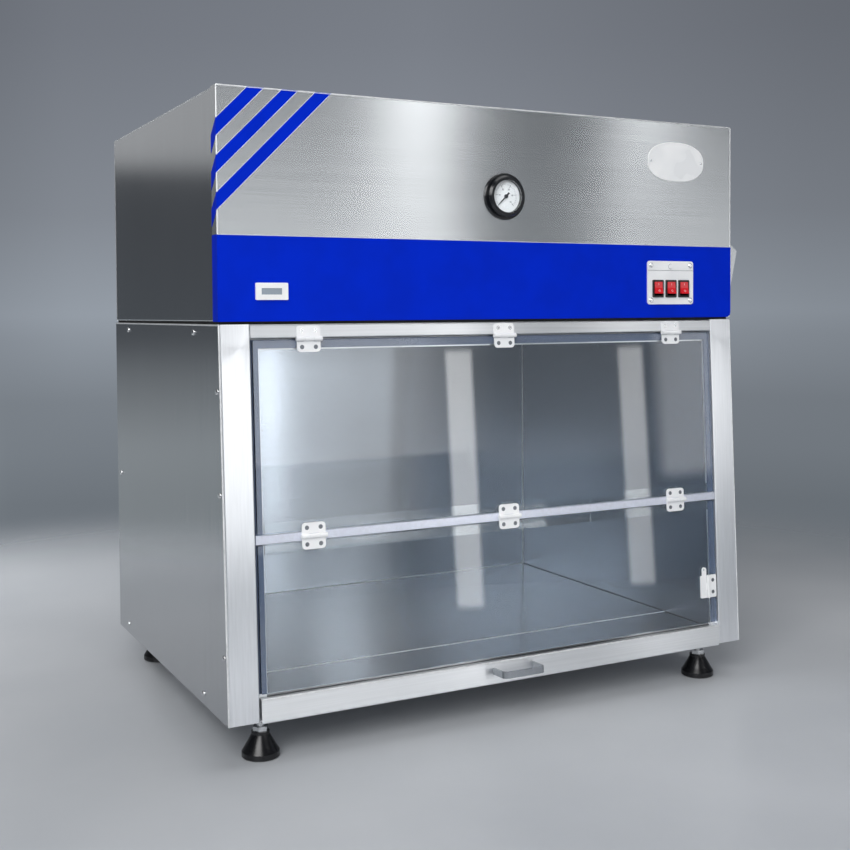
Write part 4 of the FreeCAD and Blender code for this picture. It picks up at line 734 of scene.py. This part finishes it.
# name, point it faces, place, width and height, watts, soft border as a share of each, spread in degrees
LAMPS = (
    # the wide wash on the left of the front, with a dim one above it
    ("left_front_box", (1.05, 0.0, 0.68), (1.05, -5.0, 0.68), (3.6, 0.97), 21.0, (0.2, 0.04), 180.0),
    ("upper_left_box", (0.7, 0.0, 1.7), (0.7, -5.0, 1.7), (2.0, 1.2), 1.8, (0.3, 0.2), 180.0),
    # the duller middle of the front, and its bright right end
    ("middle_front_box", (3.3, 0.0, 0.65), (3.3, -5.0, 0.67), (1.6, 1.3), 2.4, (0.15, 0.15), 180.0),
    ("right_front_box", (4.8, 0.0, 0.65), (4.8, -5.0, 0.6), (1.7, 1.4), 12.0, (0.1, 0.1), 180.0),
    # two narrow columns of light on the fascia, brighter towards the top
    ("strip_near", (2.42, 0.0, 1.5), (2.42, -5.0, 1.55), (0.24, 1.2), 2.3, (0.4, 0.1), 180.0),
    ("strip_top_near", (2.38, 0.0, 1.2), (2.38, -5.0, 2.7), (0.5, 1.1), 14.0, (0.3, 0.1), 180.0),
    ("strip_far", (3.85, 0.0, 1.5), (3.85, -5.0, 1.55), (0.24, 1.2), 1.84, (0.4, 0.1), 180.0),
    ("strip_top_far", (4.15, 0.0, 1.2), (4.15, -5.0, 2.7), (0.5, 1.1), 11.2, (0.3, 0.1), 180.0),
    # tall faint reflections on the chamber's back wall
    ("window_ghost_near", (-0.273, 0.03, 0.33), (0.297, -0.97, 0.33), (0.07, 0.58), 0.07, (0.2, 0.04), 70.0),
    ("window_ghost_far", (-0.005, 0.03, 0.33), (0.762, -0.97, 0.33), (0.07, 0.58), 0.048, (0.2, 0.04), 70.0),
    # a low fill for the chamber and the tray
    ("floor_box", (0.1, 0.0, 0.225), (0.1, -1.9, 0.225), (1.4, 0.27), 1.3, (0.2, 0.08), 180.0),
    # the soft key from the upper left, and the light from above
    ("key_box", MIDDLE, (-2.2, -2.6, 2.3), (2.8, 2.4), 135.0, (0.15, 0.15), 180.0),
    ("top_box", MIDDLE, (0.2, -0.4, 3.6), (3.0, 3.0), 52.0, (0.15, 0.15), 180.0),
    # the pale band high on the left side, and the pool of light on the floor behind it
    ("high_side_band", MIDDLE, (-1.5, 3.0, 1.58), (3.0, 0.8), 3.6, (0.1, 0.15), 180.0),
    ("floor_pool", (-1.0, 1.5, 0.0), (-1.2, 1.7, 1.3), (0.6, 0.6), 12.0, (0.15, 0.15), 100.0),
)


def soft_panel(name, target, spot, size, power, border, spread):
    """Rectangular lamp with soft borders that faces a target and doesn't show itself."""
    lamp = bpy.data.lights.new(name, "AREA")
    lamp.shape = "RECTANGLE"
    lamp.size, lamp.size_y = size
    lamp.energy = power
    lamp.spread = math.radians(spread)
    lamp.use_nodes = True
    tree = lamp.node_tree
    tree.nodes.clear()
    place = add(tree, "ShaderNodeNewGeometry").outputs["Parametric"]
    across = add(tree, "ShaderNodeSeparateXYZ", None, {0: place})
    fades = []
    for axis, width in zip("XY", border):
        off = add(tree, "ShaderNodeMath", {1: 0.5}, {0: across.outputs[axis]}, operation="SUBTRACT")
        far = add(tree, "ShaderNodeMath", None, {0: off.outputs[0]}, operation="ABSOLUTE")
        fade = add(tree, "ShaderNodeMapRange", {"From Min": 0.5, "From Max": 0.5 - width, "To Min": 0.0,
                                                "To Max": 1.0}, {"Value": far.outputs[0]},
                   interpolation_type="SMOOTHSTEP")
        fades.append(fade.outputs["Result"])
    both = add(tree, "ShaderNodeMath", None, {0: fades[0], 1: fades[1]}, operation="MULTIPLY")
    glow = add(tree, "ShaderNodeEmission", None, {"Strength": both.outputs[0]})
    add(tree, "ShaderNodeOutputLight", None, {"Surface": glow.outputs[0]})
    holder = bpy.data.objects.new(name, lamp)
    bpy.context.scene.collection.objects.link(holder)
    holder.location = spot
    holder.rotation_euler = (Vector(target) - Vector(spot)).to_track_quat("-Z", "Y").to_euler()
    holder.visible_camera = False


class CABINET_OT_studio(bpy.types.Operator):
    """Adds the plain floor, the soft lamps and the camera"""
    bl_idname = "cabinet.studio"
    bl_label = "Plain studio"

    def execute(self, context):
        scene = context.scene
        self.floor(scene)
        self.world(scene)
        for lamp in LAMPS:
            soft_panel(*lamp)
        self.camera(scene)
        scene.view_settings.view_transform = "Standard"
        return {"FINISHED"}

    def floor(self, scene):
        """Polished pale screed, fading to the backdrop's grey far away."""
        shape = bmesh.new()
        bmesh.ops.create_circle(shape, cap_ends=True, segments=96, radius=scene.cabinet_studio.floor_radius)
        mesh = bpy.data.meshes.new("studio_floor")
        shape.to_mesh(mesh)
        shape.free()
        floor = bpy.data.objects.new("studio_floor", mesh)
        scene.collection.objects.link(floor)
        material, tree, shader = new_material("polished_pale_screed")
        cloud = object_grain(tree, (1.6, 1.6, 1.6), 6.0)
        uneven(tree, shader, cloud, [(0.3, linear("C3C7CC")), (0.7, linear("D2D5D9"))], cloud, 0.28, 0.42)
        place = add(tree, "ShaderNodeTexCoord").outputs["Object"]
        far = add(tree, "ShaderNodeVectorMath", None, {0: place}, operation="LENGTH")
        fade = add(tree, "ShaderNodeMapRange", {"From Min": FLOOR_FADE[0], "From Max": FLOOR_FADE[1]},
                   {"Value": far.outputs["Value"]}, interpolation_type="SMOOTHSTEP")
        show_instead(tree, shader, fade.outputs["Result"], add(tree, "ShaderNodeBsdfTransparent"))
        mesh.materials.append(material)

    def world(self, scene):
        """Plain grey backdrop with a soft glow at its horizon, the same for every ray."""
        world = bpy.data.worlds.new("studio_world")
        world.use_nodes = True
        tree = world.node_tree
        tree.nodes.clear()
        way = add(tree, "ShaderNodeTexCoord").outputs["Generated"]
        height = add(tree, "ShaderNodeSeparateXYZ", None, {0: way}).outputs["Z"]
        turned = add(tree, "ShaderNodeMapping", {"Rotation": (0, 0, math.radians(BACKDROP_TURN))},
                     {"Vector": way})
        flat = add(tree, "ShaderNodeSeparateXYZ", None, {0: turned.outputs["Vector"]})
        side = add(tree, "ShaderNodeMath", None, {0: flat.outputs["X"], 1: flat.outputs["Y"]},
                   operation="ARCTAN2")
        # from the ground up: grey, a paler horizon, and darker again overhead
        level = add(tree, "ShaderNodeMapRange", {"From Min": -0.4, "From Max": 0.6}, {"Value": height})
        tone = add(tree, "ShaderNodeValToRGB", None, {"Fac": level.outputs["Result"]}, [
            (0.0, linear("747A81")), (0.25, linear("6E757C")), (0.33, linear("7E858D")), (0.4, linear("9CA4AE")),
            (0.48, linear("8A9099")), (0.62, linear("7A7F88")), (1.0, linear("5F6369"))])
        # from left to right of the cabinet: a factor on that tone, one above the horizon and one below it
        around = add(tree, "ShaderNodeMapRange", {"From Min": -1.2, "From Max": 1.2}, {"Value": side.outputs[0]})
        above = add(tree, "ShaderNodeValToRGB", None, {"Fac": around.outputs["Result"]}, [
            (0.0, linear("8C8C8C")), (0.22, linear("7C7C7C")), (0.38, linear("F2F2F2")), (0.5, linear("FFFFFF")),
            (0.63, linear("DDDDDD")), (1.0, linear("A0A0A0"))])
        below = add(tree, "ShaderNodeValToRGB", None, {"Fac": around.outputs["Result"]}, [
            (0.0, (1.6, 1.55, 1.45, 1.0)), (0.22, (2.6, 2.5, 2.3, 1.0)), (0.36, (1.0, 1.0, 1.0, 1.0)),
            (0.63, (0.9, 0.9, 0.9, 1.0)), (1.0, (1.0, 1.0, 1.0, 1.0))])
        share = add(tree, "ShaderNodeMapRange", {"From Min": -0.11, "From Max": -0.02}, {"Value": height})
        # inputs 6 and 7 and output 2 are the colours among this node's sockets
        glow = add(tree, "ShaderNodeMix", None, {0: share.outputs["Result"], 6: below.outputs["Color"],
                                                 7: above.outputs["Color"]}, data_type="RGBA")
        both = add(tree, "ShaderNodeVectorMath", None, {0: tone.outputs["Color"], 1: glow.outputs[2]},
                   operation="MULTIPLY")
        sky = add(tree, "ShaderNodeBackground", {"Strength": 1.0}, {"Color": both.outputs["Vector"]})
        add(tree, "ShaderNodeOutputWorld", None, {"Surface": sky.outputs[0]})
        scene.world = world

    def camera(self, scene):
        """Camera at the photograph's place, turned, tipped and rolled as there."""
        camera = bpy.data.cameras.new("view")
        camera.lens = scene.cabinet_studio.lens
        camera.sensor_width = 36.0
        camera.sensor_fit = "HORIZONTAL"
        camera.shift_y = CAMERA_SHIFT
        camera.clip_start = 0.02
        camera.clip_end = 60.0
        holder = bpy.data.objects.new("view", camera)
        scene.collection.objects.link(holder)
        yaw, pitch, roll = (math.radians(angle) for angle in (CAMERA_YAW, CAMERA_PITCH, CAMERA_ROLL))
        ahead = Vector((math.sin(yaw) * math.cos(pitch), math.cos(yaw) * math.cos(pitch), -math.sin(pitch)))
        right = Vector((math.cos(yaw), -math.sin(yaw), 0))
        up = right.cross(ahead)
        side = math.cos(roll) * right + math.sin(roll) * up
        top = -math.sin(roll) * right + math.cos(roll) * up
        turned = Matrix((side, top, -ahead)).transposed().to_4x4()
        holder.matrix_world = Matrix.Translation(Vector(CAMERA_PLACE)) @ turned
        scene.camera = holder


# ---------------------------------------------------------------- panel and run
class CABINET_PT_panel(bpy.types.Panel):
    """Lists the pieces that can be made"""
    bl_idname = "CABINET_PT_panel"
    bl_label = "Clean cabinet"
    bl_space_type = "VIEW_3D"
    bl_region_type = "UI"
    bl_category = "Cabinet"

    def draw(self, context):
        layout = self.layout
        for step in STEPS:
            layout.operator(step.bl_idname)
        for name in GROUPS:
            group = getattr(context.scene, name)
            for key in group.__annotations__:
                layout.prop(group, key)


GROUPS = {"cabinet_colours": CabinetColours, "cabinet_sizes": CabinetSizes, "cabinet_studio": StudioSettings}
STEPS = [CABINET_OT_steel, CABINET_OT_small_parts, CABINET_OT_clear_front, CABINET_OT_bright_edges,
         CABINET_OT_chamber_joints, CABINET_OT_badge, CABINET_OT_gauge_face, CABINET_OT_meter_face,
         CABINET_OT_switch_marks, CABINET_OT_studio]


def register():
    for name, group in GROUPS.items():
        bpy.utils.register_class(group)
        setattr(bpy.types.Scene, name, PointerProperty(type=group))
    for step in STEPS:
        bpy.utils.register_class(step)
    bpy.utils.register_class(CABINET_PT_panel)


def unregister():
    bpy.utils.unregister_class(CABINET_PT_panel)
    for step in reversed(STEPS):
        bpy.utils.unregister_class(step)
    for name, group in GROUPS.items():
        delattr(bpy.types.Scene, name)
        bpy.utils.unregister_class(group)


def main():
    register()
    for step in STEPS:
        family, action = step.bl_idname.split(".")
        getattr(getattr(bpy.ops, family), action)()


if __name__ == "__main__":
    main()
